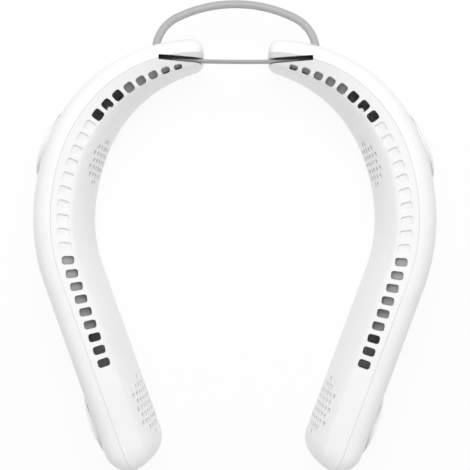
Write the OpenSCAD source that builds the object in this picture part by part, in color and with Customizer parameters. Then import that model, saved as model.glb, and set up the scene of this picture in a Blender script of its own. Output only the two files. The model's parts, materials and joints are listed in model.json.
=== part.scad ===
/* Electric neck fan: two hollow arms on a flexible neck strip, with four small blowers.
   The arms lie flat with the open side towards -Y; the left arm is drawn and the right arm mirrors it. */

/* [Arms] */
// Radius of the arm's middle line round the neck
bend_r = 84.4; // [76:0.2:92]
// Angle from the middle of the back to the arm's back end, in degrees
back_angle = 11; // [9:0.5:14]
// Angle that the curved part of the arm covers, in degrees
wrap_angle = 99; // [90:1:105]
// Length of the straight front part of the arm
straight_len = 99; // [90:1:110]
// Width of the arm over its front half
arm_w = 25.6; // [25.2:0.2:28]
// Width of the arm at its back end
back_w = 14.2; // [13:0.2:16]
// Height of the arm over its front half
arm_h = 50; // [48:0.5:56]
// Height of the arm at its back end
back_h = 40; // [37:0.5:44]
// Length over which the arm grows to its full section
taper_len = 95; // [85:1:105]
// Outward lean of the side walls, in degrees
wall_lean = 8.2; // [6:0.2:10]
// Radius of the rounded front tip
tip_r = 12.4; // [10:0.2:12.4]
// Radius round the edges of the back end
back_r = 5; // [3.5:0.5:6.5]
// How far the back end is drawn in towards the neck
back_draw = 1.6; // [0.6:0.1:2.4]
// How far the arm bellies outwards behind its back end
belly = 1.6; // [1:0.1:2.6]
// Length over which the back end is drawn in
back_blend_len = 42; // [34:1:50]

/* [Shells] */
// Wall thickness of the arm shells
wall = 1.8; // [1.4:0.1:2.2]
// Width of the joint line between the shells
seam_gap = 0.3; // [0.2:0.05:0.5]
// Clearance of inserts and covers in their openings
fit_gap = 0.3; // [0.2:0.05:0.4]

/* [Vents] */
// Distance between air vents along their row
vent_pitch = 6.46; // [6:0.02:7]
// Distance of the first vent from the back end, along the arm
vent_start = 14.2; // [13:0.1:16]
// Size of the largest upper vent, along and across the arm
upper_vent = 4.9; // [4:0.1:5]
// Size of a lower vent along the arm
lower_vent_along = 4.1; // [3.6:0.1:5]
// Size of a lower vent across the arm
lower_vent_across = 5.7; // [5:0.1:6.2]
// Corner radius of a vent
vent_corner = 1.3; // [0.8:0.1:1.6]
// Number of open vents at the back
upper_vents = 8; // [6:1:8]
// Number of blind recesses between the open vents
blind_vents = 10; // [8:1:10]
// Number of open vents at the front
lower_vents = 9; // [7:1:9]
// Depth of a blind recess
blind_depth = 0.9; // [0.4:0.1:1]

/* [Blowers] */
// Place of the upper blower on the curved part, as a share of its length
upper_fan_share = 0.573; // [0.564:0.001:0.58]
// Distance of the lower blower from the front tip
lower_fan_in = 27.6; // [26:0.2:28.2]
// Outer radius of a blower frame, as a share of the arm's height
frame_r_share = 0.34; // [0.33:0.002:0.344]
// Wall thickness of a blower frame
frame_wall = 1.3; // [1:0.1:1.6]
// Half of a blower frame's width, as a share of the arm's width
frame_half_share = 0.28125; // [0.2625:0.00125:0.29]
// Gap between the impeller and its frame
tip_gap = 0.9; // [0.6:0.1:1.4]
// Number of impeller blades
blade_count = 17; // [11:2:21]
// Thickness of an impeller blade
blade_t = 0.8; // [0.6:0.1:1]
// Radius of the impeller shaft
shaft_r = 1; // [0.8:0.05:1.2]
// Running clearance of the shaft in its bearing
shaft_play = 0.04; // [0.02:0.01:0.08]
// Radius of the motor stator
stator_r = 7.2; // [6.6:0.1:7.6]
// Radius of a round intake cover, as a share of the arm's height
cover_r_share = 0.376; // [0.37:0.001:0.38]
// How far the intake cover stands out of the wall
cover_proud = 2.4; // [1.8:0.1:2.8]
// Number of air slots in an intake cover
cover_slots = 24; // [16:2:28]
// Radius of the upper inner grille, as a share of the frame's radius
upper_grille_share = 0.79; // [0.74:0.01:0.82]
// Radius of the lower inner grille, as a share of the frame's radius
lower_grille_share = 0.953; // [0.9:0.001:0.97]
// Distance between the grille holes, as a share of the frame's radius
grille_pitch_share = 0.238; // [0.226:0.002:0.246]
// Diameter of a grille hole, as a share of their distance
grille_hole_share = 0.62; // [0.5:0.01:0.65]

/* [Neck strip and cable] */
// Thickness of the flexible strip
strip_t = 1.3; // [1:0.1:1.6]
// Height of the flexible strip
strip_h = 7; // [5:0.5:9]
// Height of the strip's lower edge over the arm's middle
strip_v = 6.5; // [6:0.5:9]
// Half length of the strip, along its chord
strip_half = 36; // [33:0.5:38]
// Distance of the strip's middle inside the arms' middle line
strip_in = 7.9; // [6.9:0.1:8.9]
// How far the strip's middle bows towards the neck
strip_bow = 0.8; // [0.4:0.1:1.2]
// Clearance of the strip in its slot, on each side
slot_gap = 0.55; // [0.4:0.05:0.7]
// Diameter of the cable sleeve
sleeve_d = 4; // [3.4:0.1:4.6]
// Half distance between the sleeve's two entries
sleeve_half = 39.5; // [38:0.5:41]
// Distance of the sleeve's entries outside the arms' middle line
sleeve_out = 1.6; // [0.6:0.5:3.6]
// Height of the sleeve's arch over its entries
sleeve_rise = 20.5; // [18:0.5:24]
// Radius of the sleeve's two shoulders
sleeve_shoulder = 19; // [17:0.5:21]

/* [Power] */
// Room between the battery cell and the side walls
cell_room = 2; // [1.9:0.05:2.4]
// Distance from the lower blower's axis to the battery cell's front end
cell_front = 18.7; // [18.7:0.1:24]
// Radius of the power button
button_r = 3.4; // [3:0.1:4]
// Travel of the power button
button_travel = 0.6; // [0.4:0.05:0.7]
// Width of the charging port's shell
port_w = 8.9; // [8.6:0.1:9.2]
// Thickness of the charging port's shell
port_t = 3.2; // [3:0.1:3.4]
// Length of the charging port's shell
port_len = 7.3; // [6.8:0.1:7.6]

/* [Hidden] */
$fn = 48;

white_plastic = [0.95, 0.95, 0.95];
soft_grey = [0.73, 0.73, 0.73];
dark_plastic = [0.2, 0.2, 0.22];
mid_plastic = [0.45, 0.45, 0.47];
steel = [0.75, 0.76, 0.78];
board_green = [0.1, 0.35, 0.2];
cell_blue = [0.25, 0.4, 0.65];

// One overrun serves every cut
over = 1;
// Shares that shape the section and the seam; they follow the sizes above
roundness = 2.4;
land_share = 0.03;
crease_back_share = 0.36;
crease_share = 0.56;
seam_share = 0.1;
belly_len_share = 0.75;
face_turn = 8;

// Steps of the lofted shells
arc_steps = 18;
straight_steps = 3;
tip_steps = 5;
back_steps = 3;
side_steps = 9;

// Spine of the arm
arc_len = bend_r * wrap_angle * PI / 180;
arm_len = arc_len + straight_len;
z_mid = arm_h / 2;
strip_y = bend_r - strip_in;
strip_z = z_mid + strip_v;
sleeve_y = bend_r + sleeve_out;
sleeve_top = sleeve_y + sleeve_rise;
lower_fan_along = straight_len - lower_fan_in;
frame_r = arm_h * frame_r_share;
frame_half = arm_w * frame_half_share;
cover_r = arm_h * cover_r_share;
grille_pitch = frame_r * grille_pitch_share;
grille_hole = grille_pitch * grille_hole_share;

function clamp01(t) = min(1, max(0, t));
function ease(t) = sin(90 * clamp01(t));
function fade(s) = pow(max(0, 1 - s / back_blend_len), 2);
function belly_at(s) = belly * pow(sin(180 * clamp01(s / (belly_len_share * arc_len))), 2);
function shift_in(s) = back_draw * fade(s) - belly_at(s);
function turn(s) = 90 + back_angle + min(s, arc_len) / bend_r * 180 / PI;
function facing(s) = turn(s) - face_turn * fade(s);
function outward(s) = [cos(facing(s)), sin(facing(s))];
function onward(s) = [-sin(turn(s)), cos(turn(s))];
function spine(s) = bend_r * [cos(turn(s)), sin(turn(s))] + max(0, s - arc_len) * onward(s);

// Section of the arm at a distance s along the spine
function half_w(s) = (back_w + (arm_w - back_w) * ease(s / taper_len)) / 2;
function half_h(s) = (back_h + (arm_h - back_h) * ease(s / taper_len)) / 2;
function lean(s) = tan(wall_lean) * ease(s / taper_len);
function round_in(r, t, d) = d >= r ? 0 : (r - t) - sqrt(max(0, pow(r - t, 2) - pow(r - d, 2)));
function inset(s, t) = t + round_in(back_r, t, s) + round_in(tip_r, t, arm_len - s);
function power(x, p) = sign(x) * pow(abs(x), p);
function level(s, v, u) = let(p = spine(s) - u * outward(s)) [p[0], p[1], z_mid + v];
function on_arm(s, phi, t) =
    let(
        a = half_w(s) - inset(s, t),
        b = half_h(s) - inset(s, t),
        high = b * power(sin(phi), 2 / roundness),
        v = high < 0 ? max(high * (1 + land_share), -b) : high,
        u = a * power(cos(phi), 2 / roundness) - lean(s) * v + shift_in(s))
    level(s, v, u);

// Angle of the section's rim at a side distance from the seam plane
function rim_angle(side, a) = acos(power(side / a, roundness / 2));
land_angle = asin(pow(1 / (1 + land_share), roundness / 2));
function crease_fade(s) = (crease_share - crease_back_share) * fade(s * back_blend_len / taper_len);
function crease(s) = 90 * (crease_share - crease_fade(s));
function seam_side(s) = seam_share * back_w * fade(s);
function wall_side(v, a, b) = a * pow(max(0, 1 - pow(abs(v) / b, roundness)), 1 / roundness);

function steps(from, to, n) = [for (i = [0:n]) from + (to - from) * i / n];
function stations(t) = concat(
    [for (i = [0:back_steps - 1]) back_r - (back_r - t) * cos(90 * i / back_steps)],
    [for (i = [0:arc_steps]) back_r + (arc_len - back_r) * i / arc_steps],
    [for (i = [1:straight_steps]) arc_len + (straight_len - tip_r) * i / straight_steps],
    [for (i = [1:tip_steps]) arm_len - tip_r + (tip_r - t) * sin(90 * i / tip_steps)]);

function outer_angles(s, t) =
    let(
        a = half_w(s) - inset(s, t),
        top = rim_angle(seam_side(s) - seam_gap / 2, a),
        foot = 360 - rim_angle(-seam_gap / 2, a))
    concat(steps(top, 180 + land_angle, side_steps), [foot]);
function inner_angles(s, t) =
    let(
        a = half_w(s) - inset(s, t),
        top = rim_angle(seam_side(s) + seam_gap / 2, a),
        foot = -rim_angle(seam_gap / 2, a))
    concat([foot], steps(-land_angle, crease(s), side_steps), [top]);
function outer_rows(t) = [for (s = stations(t)) [for (phi = outer_angles(s, t)) on_arm(s, phi, t)]];
function inner_rows(t) = [for (s = stations(t)) [for (phi = inner_angles(s, t)) on_arm(s, phi, t)]];

function flat_list(rows) = [for (row = rows) each row];
function quad(a, b, c, d) = [[a, c, b], [a, d, c]];

// A hollow shell: outer and inner skins, joined round their rim
module skin_shell(rows, rows_in) {
    n = len(rows);
    m = len(rows[0]);
    last = n - 1;
    rim = m - 1;
    function o(i, j) = i * m + j;
    function k(i, j) = n * m + i * m + j;
    faces = concat(
        [for (i = [0:last - 1], j = [0:rim - 1])
            each quad(o(i, j), o(i, j + 1), o(i + 1, j + 1), o(i + 1, j))],
        [for (i = [0:last - 1], j = [0:rim - 1])
            each quad(k(i, j), k(i + 1, j), k(i + 1, j + 1), k(i, j + 1))],
        [for (i = [0:last - 1]) each quad(o(i, 0), o(i + 1, 0), k(i + 1, 0), k(i, 0))],
        [for (i = [0:last - 1]) each quad(o(i, rim), k(i, rim), k(i + 1, rim), o(i + 1, rim))],
        [[for (j = [0:rim]) o(0, j)], [for (j = [rim:-1:0]) o(last, j)]],
        [[for (j = [rim:-1:0]) k(0, j)], [for (j = [0:rim]) k(last, j)]],
        quad(o(0, 0), k(0, 0), k(0, rim), o(0, rim)),
        quad(o(last, 0), o(last, rim), k(last, rim), k(last, 0)));
    polyhedron(concat(flat_list(rows), flat_list(rows_in)), faces, convexity = 8);
}

// The whole part stands with the middle of its box over the origin
sleeve_r = sleeve_d / 2;
tip_low = min([for (p = concat(flat_list(outer_rows(0)), flat_list(inner_rows(0)))) p[1]]);
shift_y = -(sleeve_top + sleeve_r + tip_low) / 2;

module left() {
    translate([0, shift_y, 0]) children();
}

module right() {
    mirror([1, 0, 0]) left() children();
}

// Local frames on the arm: Z out of the outer wall, Y along the arm, -X up
module across(s, v = 0) {
    translate(level(s, 0, shift_in(s))) rotate([0, 0, facing(s)]) rotate([0, 90 + atan(lean(s)), 0])
        translate([-v, 0, 0]) children();
}

// Z up, X out of the outer wall, Y along the arm
module upright(s, v = 0, u = 0) {
    translate(level(s, v, u)) rotate([0, 0, facing(s)]) children();
}

module ring(r_out, r_in, z0, z1) {
    translate([0, 0, z0]) linear_extrude(z1 - z0) difference() {
        circle(r_out);
        circle(r_in);
    }
}

module rod(r, z0, z1) {
    translate([0, 0, z0]) cylinder(r = r, h = z1 - z0);
}

function rounded(w, h, r) = [
    for (c = [[1, 1, 0], [-1, 1, 90], [-1, -1, 180], [1, -1, 270]], i = [0:3])
        [c[0] * (w / 2 - r) + r * cos(c[2] + 30 * i), c[1] * (h / 2 - r) + r * sin(c[2] + 30 * i)]];

// Row of vents
vent_count = upper_vents + blind_vents + lower_vents;
vent_in = 2;
vent_in_back = 5.4;
row_in = 4.9;
vent_fade_len = 60;
vent_fade_power = 1.2;
corner_limit_share = 0.45;
vent_reach = wall * 4;
vent_back_across_share = 0.46;
vent_back_along_share = 0.85;
vent_skew = 13;
function vent_side(s) = vent_in + vent_in_back * pow(max(0, 1 - s / vent_fade_len), vent_fade_power);
row_ratio = bend_r / (bend_r - row_in);
function vent_at(i) =
    let(flat_s = vent_start + i * vent_pitch * row_ratio)
    flat_s < arc_len ? flat_s : arc_len + (flat_s - arc_len) / row_ratio;
function is_blind(i) = i >= upper_vents && i < upper_vents + blind_vents;
function vent_size(i, back_share, low) =
    let(
        grown = sin(90 * clamp01(i / (upper_vents - 1))),
        up = upper_vent * (back_share + (1 - back_share) * grown))
    up + (low - up) * clamp01((i - upper_vents + 1) / (blind_vents + 1));
function vent_across(i) = vent_size(i, vent_back_across_share, lower_vent_across);
function vent_along(i) = vent_size(i, vent_back_along_share, lower_vent_along);
function vent_turn(i) = -vent_skew * sin(180 * clamp01((i - upper_vents) / (vent_count - upper_vents)));
function band_at(s, u) =
    let(
        side = u + lean(s) * half_h(s) - shift_in(s),
        edge = half_w(s) * power(cos(crease(s)), 2 / roundness),
        low = half_h(s) * power(sin(crease(s)), 2 / roundness))
    half_h(s) + (low - half_h(s)) * clamp01(side / edge);

module vent_cut(i) {
    s = vent_at(i);
    corner = min(vent_corner, vent_across(i) * corner_limit_share);
    top = band_at(s, vent_side(s));
    floor_v = is_blind(i) ? top - blind_depth : top - vent_reach;
    translate([0, 0, floor_v]) upright(s, 0, vent_side(s)) rotate([0, 0, vent_turn(i)])
        linear_extrude(half_h(s) - floor_v + over)
            polygon(rounded(vent_across(i), vent_along(i), corner));
}

// Blowers: distances along their axis are counted outwards from the arm's middle
lower_fan_at = arc_len + lower_fan_along;
FANS = [arc_len * upper_fan_share, lower_fan_at];
GRILLES = [frame_r * upper_grille_share, frame_r * lower_grille_share];
impeller_r = frame_r - frame_wall - tip_gap;
spider_t = 1;
ear_t = 1.6;
ear_r = 2.7;
screw_r = 0.95;
head_r = 1.9;
head_t = 1.2;
frame_top = frame_half;
ear_out = 2;
ear_at = frame_r + ear_out;
ear_play = 0.12;
post_hole = wall * 2;
screw_bite = wall * 1.5;
collar_wall = 1.4;
ledge = 0.8;
collar_bite_share = 0.35;
function collar_end(s, r) = wall_side(r, half_w(s), half_h(s)) * cos(wall_lean) - collar_bite_share * wall;

module at_fan(f) {
    across(FANS[f]) children();
}

// Strip and slot: a flat strip on a shallow arc, bowed towards the neck
bow_r = (pow(strip_half, 2) + pow(strip_bow, 2)) / (2 * strip_bow);
bow_steps = 12;
slot_deep = slot_gap * 2;
clamp_len = 7;
clamp_t = 1.3;

function bow_point(r, angle) = [r * sin(angle), strip_y + bow_r - r * cos(angle)];
function band(from, to, grow) = concat(
    [for (a = steps(from, to, bow_steps)) bow_point(bow_r - strip_t / 2 - grow, a)],
    [for (a = steps(to, from, bow_steps)) bow_point(bow_r + strip_t / 2 + grow, a)]);
function bow_turn(length) = asin(length / bow_r);

module strip_block(from, to, grow, z0, z1) {
    translate([0, 0, z0]) linear_extrude(z1 - z0) polygon(band(bow_turn(from), bow_turn(to), grow));
}

module slot_cut() {
    end = strip_half + slot_deep;
    strip_block(-end, end, slot_gap, strip_z - slot_gap, arm_h);
}

// Cap over the strip's end, and the rib of the outer shell that carries it
clamp_margin = 0.5;
clamp_low = strip_z + clamp_margin;
clamp_high = strip_z + strip_h - clamp_margin;
clamp_roof = 1;
clamp_in = strip_z + strip_h + fit_gap;
clamp_out = strip_half + fit_gap + clamp_t;
clamp_end = clamp_len - clamp_out;
rib_w = 3.5;
rib_in = 3;
rib_at = 16;
rib_margin = 0.8;

module strip_clamp() {
    difference() {
        strip_block(-clamp_out, clamp_end, slot_gap + clamp_t, clamp_low, clamp_in + clamp_roof);
        strip_block(-clamp_out + clamp_t, clamp_end + over, slot_gap, clamp_low - over, clamp_in);
    }
}

module clamp_rib() {
    clamp_side_r = bow_r - strip_t / 2 - slot_gap - clamp_t;
    start = bow_point(clamp_side_r, bow_turn(strip_half - rib_in))[1] + fit_gap / 2;
    end = level(rib_at, 0, wall / 2 - half_w(rib_at) + shift_in(rib_at))[1];
    translate([rib_in - strip_half, start, clamp_low + rib_margin])
        cube([rib_w, end - start, clamp_high - clamp_low - 2 * rib_margin]);
}

// Cable sleeve: a top arc between two tighter shoulders
entry_angle = 10;
stub_len = 7.3;
function shoulder_turn(l) = l / sleeve_shoulder * 180 / PI;
stub_angle = shoulder_turn(stub_len) - entry_angle;
shoulder_x = sleeve_half - sleeve_shoulder * cos(entry_angle);
shoulder_y = sleeve_y - sleeve_shoulder * sin(entry_angle);
top_gap = sleeve_top - sleeve_shoulder;
top_y = (pow(top_gap, 2) - pow(shoulder_x, 2) - pow(shoulder_y, 2)) / (2 * (top_gap - shoulder_y));
top_r = sleeve_top - top_y;
join_angle = atan2(shoulder_y - top_y, shoulder_x);
gland_wall = 1;
gland_in = 4.9;
gland_len = 2;
gland_from = shoulder_turn(gland_in) - entry_angle;
gland_turn = shoulder_turn(gland_len);
gland_play = 0.05;
entry_play = 0.35;
entry_reach = 4.6;

// Middle line of the sleeve from one entry over the arch to the other, as points and headings
arc_turns = 10;
top_turns = 18;
tube_sides = 16;
function sleeve_arc(x, y, r, from, to, n) =
    [for (a = steps(from, to, n)) [x + r * cos(a), y + r * sin(a), a]];
sleeve_path = concat(
    sleeve_arc(shoulder_x, shoulder_y, sleeve_shoulder, -stub_angle, join_angle, arc_turns),
    [for (i = [1:top_turns - 1]) let(a = join_angle + (180 - 2 * join_angle) * i / top_turns)
        [top_r * cos(a), top_y + top_r * sin(a), a]],
    sleeve_arc(-shoulder_x, shoulder_y, sleeve_shoulder, 180 - join_angle, 180 + stub_angle, arc_turns));

module sleeve_tube() {
    n = len(sleeve_path);
    rows = [for (p = sleeve_path) [for (i = [0:tube_sides - 1]) let(w = 360 * i / tube_sides)
        [p[0] + sleeve_r * cos(w) * cos(p[2]), p[1] + sleeve_r * cos(w) * sin(p[2]), sleeve_r * sin(w)]]];
    function at(i, j) = i * tube_sides + j % tube_sides;
    faces = concat(
        [for (i = [0:n - 2], j = [0:tube_sides - 1])
            each quad(at(i, j), at(i + 1, j), at(i + 1, j + 1), at(i, j + 1))],
        [[for (j = [tube_sides - 1:-1:0]) at(0, j)], [for (j = [0:tube_sides - 1]) at(n - 1, j)]]);
    polyhedron(flat_list(rows), faces);
}

// Z along the sleeve, out of the left arm, at its entry
module at_entry() {
    translate([-sleeve_half, sleeve_y, z_mid]) rotate([0, 0, -entry_angle]) rotate([-90, 0, 0]) children();
}

module outer_shell_solid() {
    difference() {
        union() {
            skin_shell(outer_rows(0), outer_rows(wall));
            clamp_rib();
            for (side = [-1, 1]) board_post(side);
        }
        for (f = [0:1]) at_fan(f) rod(cover_r + fit_gap, frame_half - spider_t - fit_gap, arm_w);
        at_entry() rod(sleeve_r + entry_play, -entry_reach, entry_reach);
        slot_cut();
    }
}

// Post of the outer shell for the circuit board
module board_post(side) {
    post_v = board_high - post_r;
    sag = pow(post_at, 2) / (2 * (bend_r + half_w(board_at)));
    mid_w = wall_side(post_v, half_w(board_at) - wall / 2, half_h(board_at) - wall / 2);
    across(board_at, post_v) translate([0, side * post_at, 0])
        rod(post_r, board_top, mid_w * cos(wall_lean) - sag);
}

module left_outer_shell() {
    color(white_plastic) left() outer_shell_solid();
}

module right_outer_shell() {
    color(white_plastic) right() difference() {
        outer_shell_solid();
        across(board_at, button_v) rod(button_r + fit_gap, board_top, arm_w);
    }
}

module inner_shell_solid() {
    difference() {
        union() {
            skin_shell(inner_rows(0), inner_rows(wall));
            for (f = [0:1]) at_fan(f) fan_seat(FANS[f], GRILLES[f]);
            pillar();
        }
        for (i = [0:vent_count - 1]) vent_cut(i);
        for (f = [0:1]) at_fan(f) {
            rod(GRILLES[f] + fit_gap, -arm_w, -collar_end(FANS[f], GRILLES[f]) + wall);
            for (side = [-1, 1]) translate([0, side * ear_at, 0])
                rod(screw_r + shaft_play, -frame_half - post_hole, 0);
        }
        slot_cut();
    }
}

// Screw pillar of the inner shell, seen through one of the upper vents
pillar_r = 1.3;
pillar_vent = 6;
pillar_in = 1.9;
pillar_on = 0.9;
pillar_drop = 3.4;

module pillar() {
    s = vent_at(pillar_vent) + pillar_on;
    u = vent_side(s) + pillar_in;
    foot = wall / 2 - half_h(s);
    translate([0, 0, foot]) upright(s, 0, u) rod(pillar_r, 0, band_at(s, u) - pillar_drop - foot);
}

// Seat of a blower on the inner shell: a collar round the grille and two screw posts
module fan_seat(s, r) {
    difference() {
        ring(r + collar_wall, r - ledge, -collar_end(s, r + collar_wall), -frame_half);
        rod(r + fit_gap, -arm_w, -collar_end(s, r) + wall);
    }
    for (side = [-1, 1]) translate([0, side * ear_at, 0])
        rod(ear_r, -wall_depth(s, side * ear_at), -frame_half);
}

// Depth of the inner wall's middle at a distance d along the arm from a blower's axis
function wall_depth(s, d) =
    let(side = half_w(s + d) - inset(s + d, wall / 2))
    s < arc_len ? bend_r - sqrt(pow(bend_r - side, 2) - d * d) : side;

module left_inner_shell() {
    color(white_plastic) left() inner_shell_solid();
}

// Round intake cover: a shallow dome with a lip, a shadow groove below it and a skirt that stands on
// the blower frame
cover_t = 1.4;
skirt_t = 1.2;
cover_edge = 0.5;
cover_lip = 1.1;
groove_w_share = 0.9;
groove_w = cover_proud * groove_w_share;
groove_r = cover_r - skirt_t / 2;
slot_in_share = 0.42;
slot_out_share = 0.86;
slot_w = 1.5;
cover_reach = cover_proud * 3 + cover_t;
dome_steps = 8;
dome_in = dome_steps - 1;

function dome_rise(r) = cover_proud * (1 - pow(r / cover_r, 2)) + cover_proud / 2;

module intake_cover(s) {
    wall_top = half_w(s) * cos(wall_lean);
    shoulder = wall_top - cover_proud / 2;
    lip_low = dome_rise(cover_r) - cover_lip;
    difference() {
        translate([0, 0, shoulder]) rotate_extrude($fn = 96) polygon(concat(
            [for (i = [0:dome_in]) [cover_r * i / dome_steps, dome_rise(cover_r * i / dome_steps)]],
            [[cover_r, dome_rise(cover_r) - cover_edge], [cover_r, lip_low], [groove_r, lip_low]],
            [[groove_r, lip_low - groove_w], [cover_r, lip_low - groove_w]],
            [[cover_r, frame_top - shoulder], [cover_r - skirt_t, frame_top - shoulder]],
            [for (i = [dome_in:-1:0])
                [(cover_r - skirt_t) * i / dome_in, dome_rise(cover_r * i / dome_in) - cover_t]]));
        for (i = [0:cover_slots - 1]) rotate([0, 0, (i + 0.5) * 360 / cover_slots])
            translate([cover_r * slot_in_share, -slot_w / 2, shoulder - cover_t])
                cube([cover_r * (slot_out_share - slot_in_share), slot_w, cover_reach]);
    }
}

module left_upper_intake_cover() {
    color(white_plastic) left() at_fan(0) intake_cover(FANS[0]);
}

module left_lower_intake_cover() {
    color(white_plastic) left() at_fan(1) intake_cover(FANS[1]);
}

// Inner grille: a round piece of the inner wall with a field of holes
grille_t = 1.4;
grille_rim_share = 0.8;
grille_rim = grille_hole * grille_rim_share;
patch_steps = 7;

function patch_rows(s, r, t) =
    [for (d = steps(s - r - over, s + r + over, patch_steps))
        [for (v = steps(-r - over, r + over, patch_steps))
            level(d, v, wall_side(v, half_w(d) - t, half_h(d) - t) - lean(d) * v + shift_in(d))]];

module wall_patch(s, r) {
    top = patch_rows(s, r, 0);
    low = patch_rows(s, r, grille_t);
    n = patch_steps + 1;
    last = patch_steps;
    function o(i, j) = i * n + j;
    function k(i, j) = n * n + i * n + j;
    faces = concat(
        [for (i = [0:last - 1], j = [0:last - 1])
            each quad(o(i, j), o(i, j + 1), o(i + 1, j + 1), o(i + 1, j))],
        [for (i = [0:last - 1], j = [0:last - 1])
            each quad(k(i, j), k(i + 1, j), k(i + 1, j + 1), k(i, j + 1))],
        [for (i = [0:last - 1]) each quad(o(i, 0), o(i + 1, 0), k(i + 1, 0), k(i, 0))],
        [for (i = [0:last - 1]) each quad(o(i, last), k(i, last), k(i + 1, last), o(i + 1, last))],
        [for (j = [0:last - 1]) each quad(o(0, j), k(0, j), k(0, j + 1), o(0, j + 1))],
        [for (j = [0:last - 1]) each quad(o(last, j), o(last, j + 1), k(last, j + 1), k(last, j))]);
    polyhedron(concat(flat_list(top), flat_list(low)), faces, convexity = 6);
}

module inner_grille(f) {
    s = FANS[f];
    r = GRILLES[f];
    rows = floor(r / grille_pitch) + 1;
    row_gap = grille_pitch * sin(60);
    difference() {
        intersection() {
            wall_patch(s, r);
            at_fan(f) rod(r, -arm_w, 0);
        }
        at_fan(f) for (i = [-rows:rows], j = [-2 * rows:2 * rows]) {
            x = (j + i / 2) * grille_pitch;
            y = i * row_gap;
            if (norm([x, y]) < r - grille_rim) translate([x, y]) rod(grille_hole / 2, -arm_w, 0, $fn = 24);
        }
    }
}

module left_upper_inner_grille() {
    color(white_plastic) left() inner_grille(0);
}

module left_lower_inner_grille() {
    color(white_plastic) left() inner_grille(1);
}

// Blower frame: a ring with a mouth towards the vents, ears, and a spider that carries the motor
mouth_angle = 62;
spider_arms = 3;
arm_rib_w = 3;
hub_rim = 1;
hub_r = stator_r + hub_rim;

module frame_ears() {
    for (side = [-1, 1]) translate([0, side * ear_at, -frame_half]) difference() {
        ear_outline(side);
        rod(screw_r + ear_play, -over, ear_t + over);
    }
}

module ear_outline(side) {
    linear_extrude(ear_t) difference() {
        union() {
            circle(ear_r);
            translate([-ear_r, side > 0 ? -ear_r : 0]) square([2 * ear_r, ear_r]);
        }
        translate([0, -side * ear_at]) circle(frame_r - frame_wall / 2);
    }
}

module fan_frame() {
    difference() {
        union() {
            ring(frame_r, frame_r - frame_wall, -frame_half, frame_half);
            ring(cover_r - fit_gap, frame_r - frame_wall / 2, frame_top - spider_t, frame_top);
            ring(hub_r, shaft_r + bearing_wall - ledge, frame_top - spider_t, frame_top);
            for (i = [0:spider_arms - 1]) rotate([0, 0, i * 360 / spider_arms + 180])
                translate([hub_r - over, -arm_rib_w / 2, frame_top - spider_t])
                    cube([frame_r - frame_wall / 2 - hub_r + over, arm_rib_w, spider_t]);
            frame_ears();
        }
        rotate([0, 0, 180 - mouth_angle / 2]) translate([0, 0, -frame_half + ear_t]) mouth_wedge();
    }
}

module mouth_wedge() {
    rotate_extrude(angle = mouth_angle, $fn = 96) translate([frame_r - frame_wall * 2, 0])
        square([frame_wall * 4, 2 * frame_half - ear_t - 2 * spider_t]);
}

module left_upper_fan_frame() {
    color(dark_plastic) left() at_fan(0) fan_frame();
}

module left_lower_fan_frame() {
    color(dark_plastic) left() at_fan(1) fan_frame();
}

// Motor stator on the spider, round the bearing
bearing_wall = 1.6;
stator_gap = 0.15;
stator_t_share = 0.555;
stator_t = frame_half * stator_t_share;
rotor_gap = 0.5;
rotor_wall = 0.9;
pole_count = 6;
pole_start_share = 0.55;

module motor() {
    top = frame_top - spider_t;
    difference() {
        rod(stator_r, top - stator_t, top);
        rod(shaft_r + bearing_wall + stator_gap, top - stator_t - over, top + over);
        for (i = [0:pole_count - 1]) rotate([0, 0, i * 360 / pole_count])
            translate([stator_r * pole_start_share, -blade_t / 2, top - stator_t - over])
                cube([stator_r, blade_t, stator_t - spider_t + over]);
    }
}

module left_upper_motor() {
    color("peru") left() at_fan(0) motor();
}

module left_lower_motor() {
    color("peru") left() at_fan(1) motor();
}

module bearing() {
    top = frame_top - spider_t;
    ring(shaft_r + bearing_wall, shaft_r + shaft_play, top - stator_t - ledge, top);
}

module left_upper_bearing() {
    color("goldenrod") left() at_fan(0) bearing();
}

module left_lower_bearing() {
    color("goldenrod") left() at_fan(1) bearing();
}

// Impeller: shaft, rotor cup, back plate and curved blades in a rim
cup_in = stator_r + rotor_gap;
cup_out = cup_in + rotor_wall;
run_gap = 0.8;
plate_t = 1;
rim_t = 1;
blade_sweep = 34;
blade_steps = 5;
blade_low = -frame_half + ear_t;
plate_z = frame_top - spider_t - stator_t - ledge - run_gap - plate_t;

function blade_point(r, side) =
    let(t = (r - cup_out) / (impeller_r - cup_out), a = blade_sweep * t * t, w = blade_t / 2 / r * 180 / PI)
    r * [cos(a + side * w), sin(a + side * w)];

module blades() {
    rs = steps(cup_out - rotor_wall / 2, impeller_r - rim_t / 2, blade_steps);
    translate([0, 0, blade_low]) linear_extrude(plate_z + plate_t / 2 - blade_low)
        for (i = [0:blade_count - 1]) rotate(i * 360 / blade_count)
            polygon(concat(
                [for (r = rs) blade_point(r, 1)],
                [for (j = [blade_steps:-1:0]) blade_point(rs[j], -1)]));
}

module impeller() {
    rod(shaft_r, plate_z, frame_top - spider_t);
    rod(impeller_r, plate_z, plate_z + plate_t);
    ring(cup_out, cup_in, plate_z + plate_t / 2, frame_top - spider_t - run_gap);
    ring(impeller_r, impeller_r - rim_t, blade_low, blade_low + rim_t);
    rod(cup_out, blade_low + rim_t, plate_z + plate_t / 2);
    blades();
}

module left_upper_impeller() {
    color(mid_plastic) left() at_fan(0) impeller();
}

module left_lower_impeller() {
    color(mid_plastic) left() at_fan(1) impeller();
}

module fan_screws() {
    for (f = [0:1], side = [-1, 1]) at_fan(f) translate([0, side * ear_at, 0]) {
        rod(screw_r, -frame_half - screw_bite, -frame_half + ear_t + head_t / 2);
        rod(head_r, -frame_half + ear_t, -frame_half + ear_t + head_t);
    }
}

module left_fan_screws() {
    color(steel) left() fan_screws();
}

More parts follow.
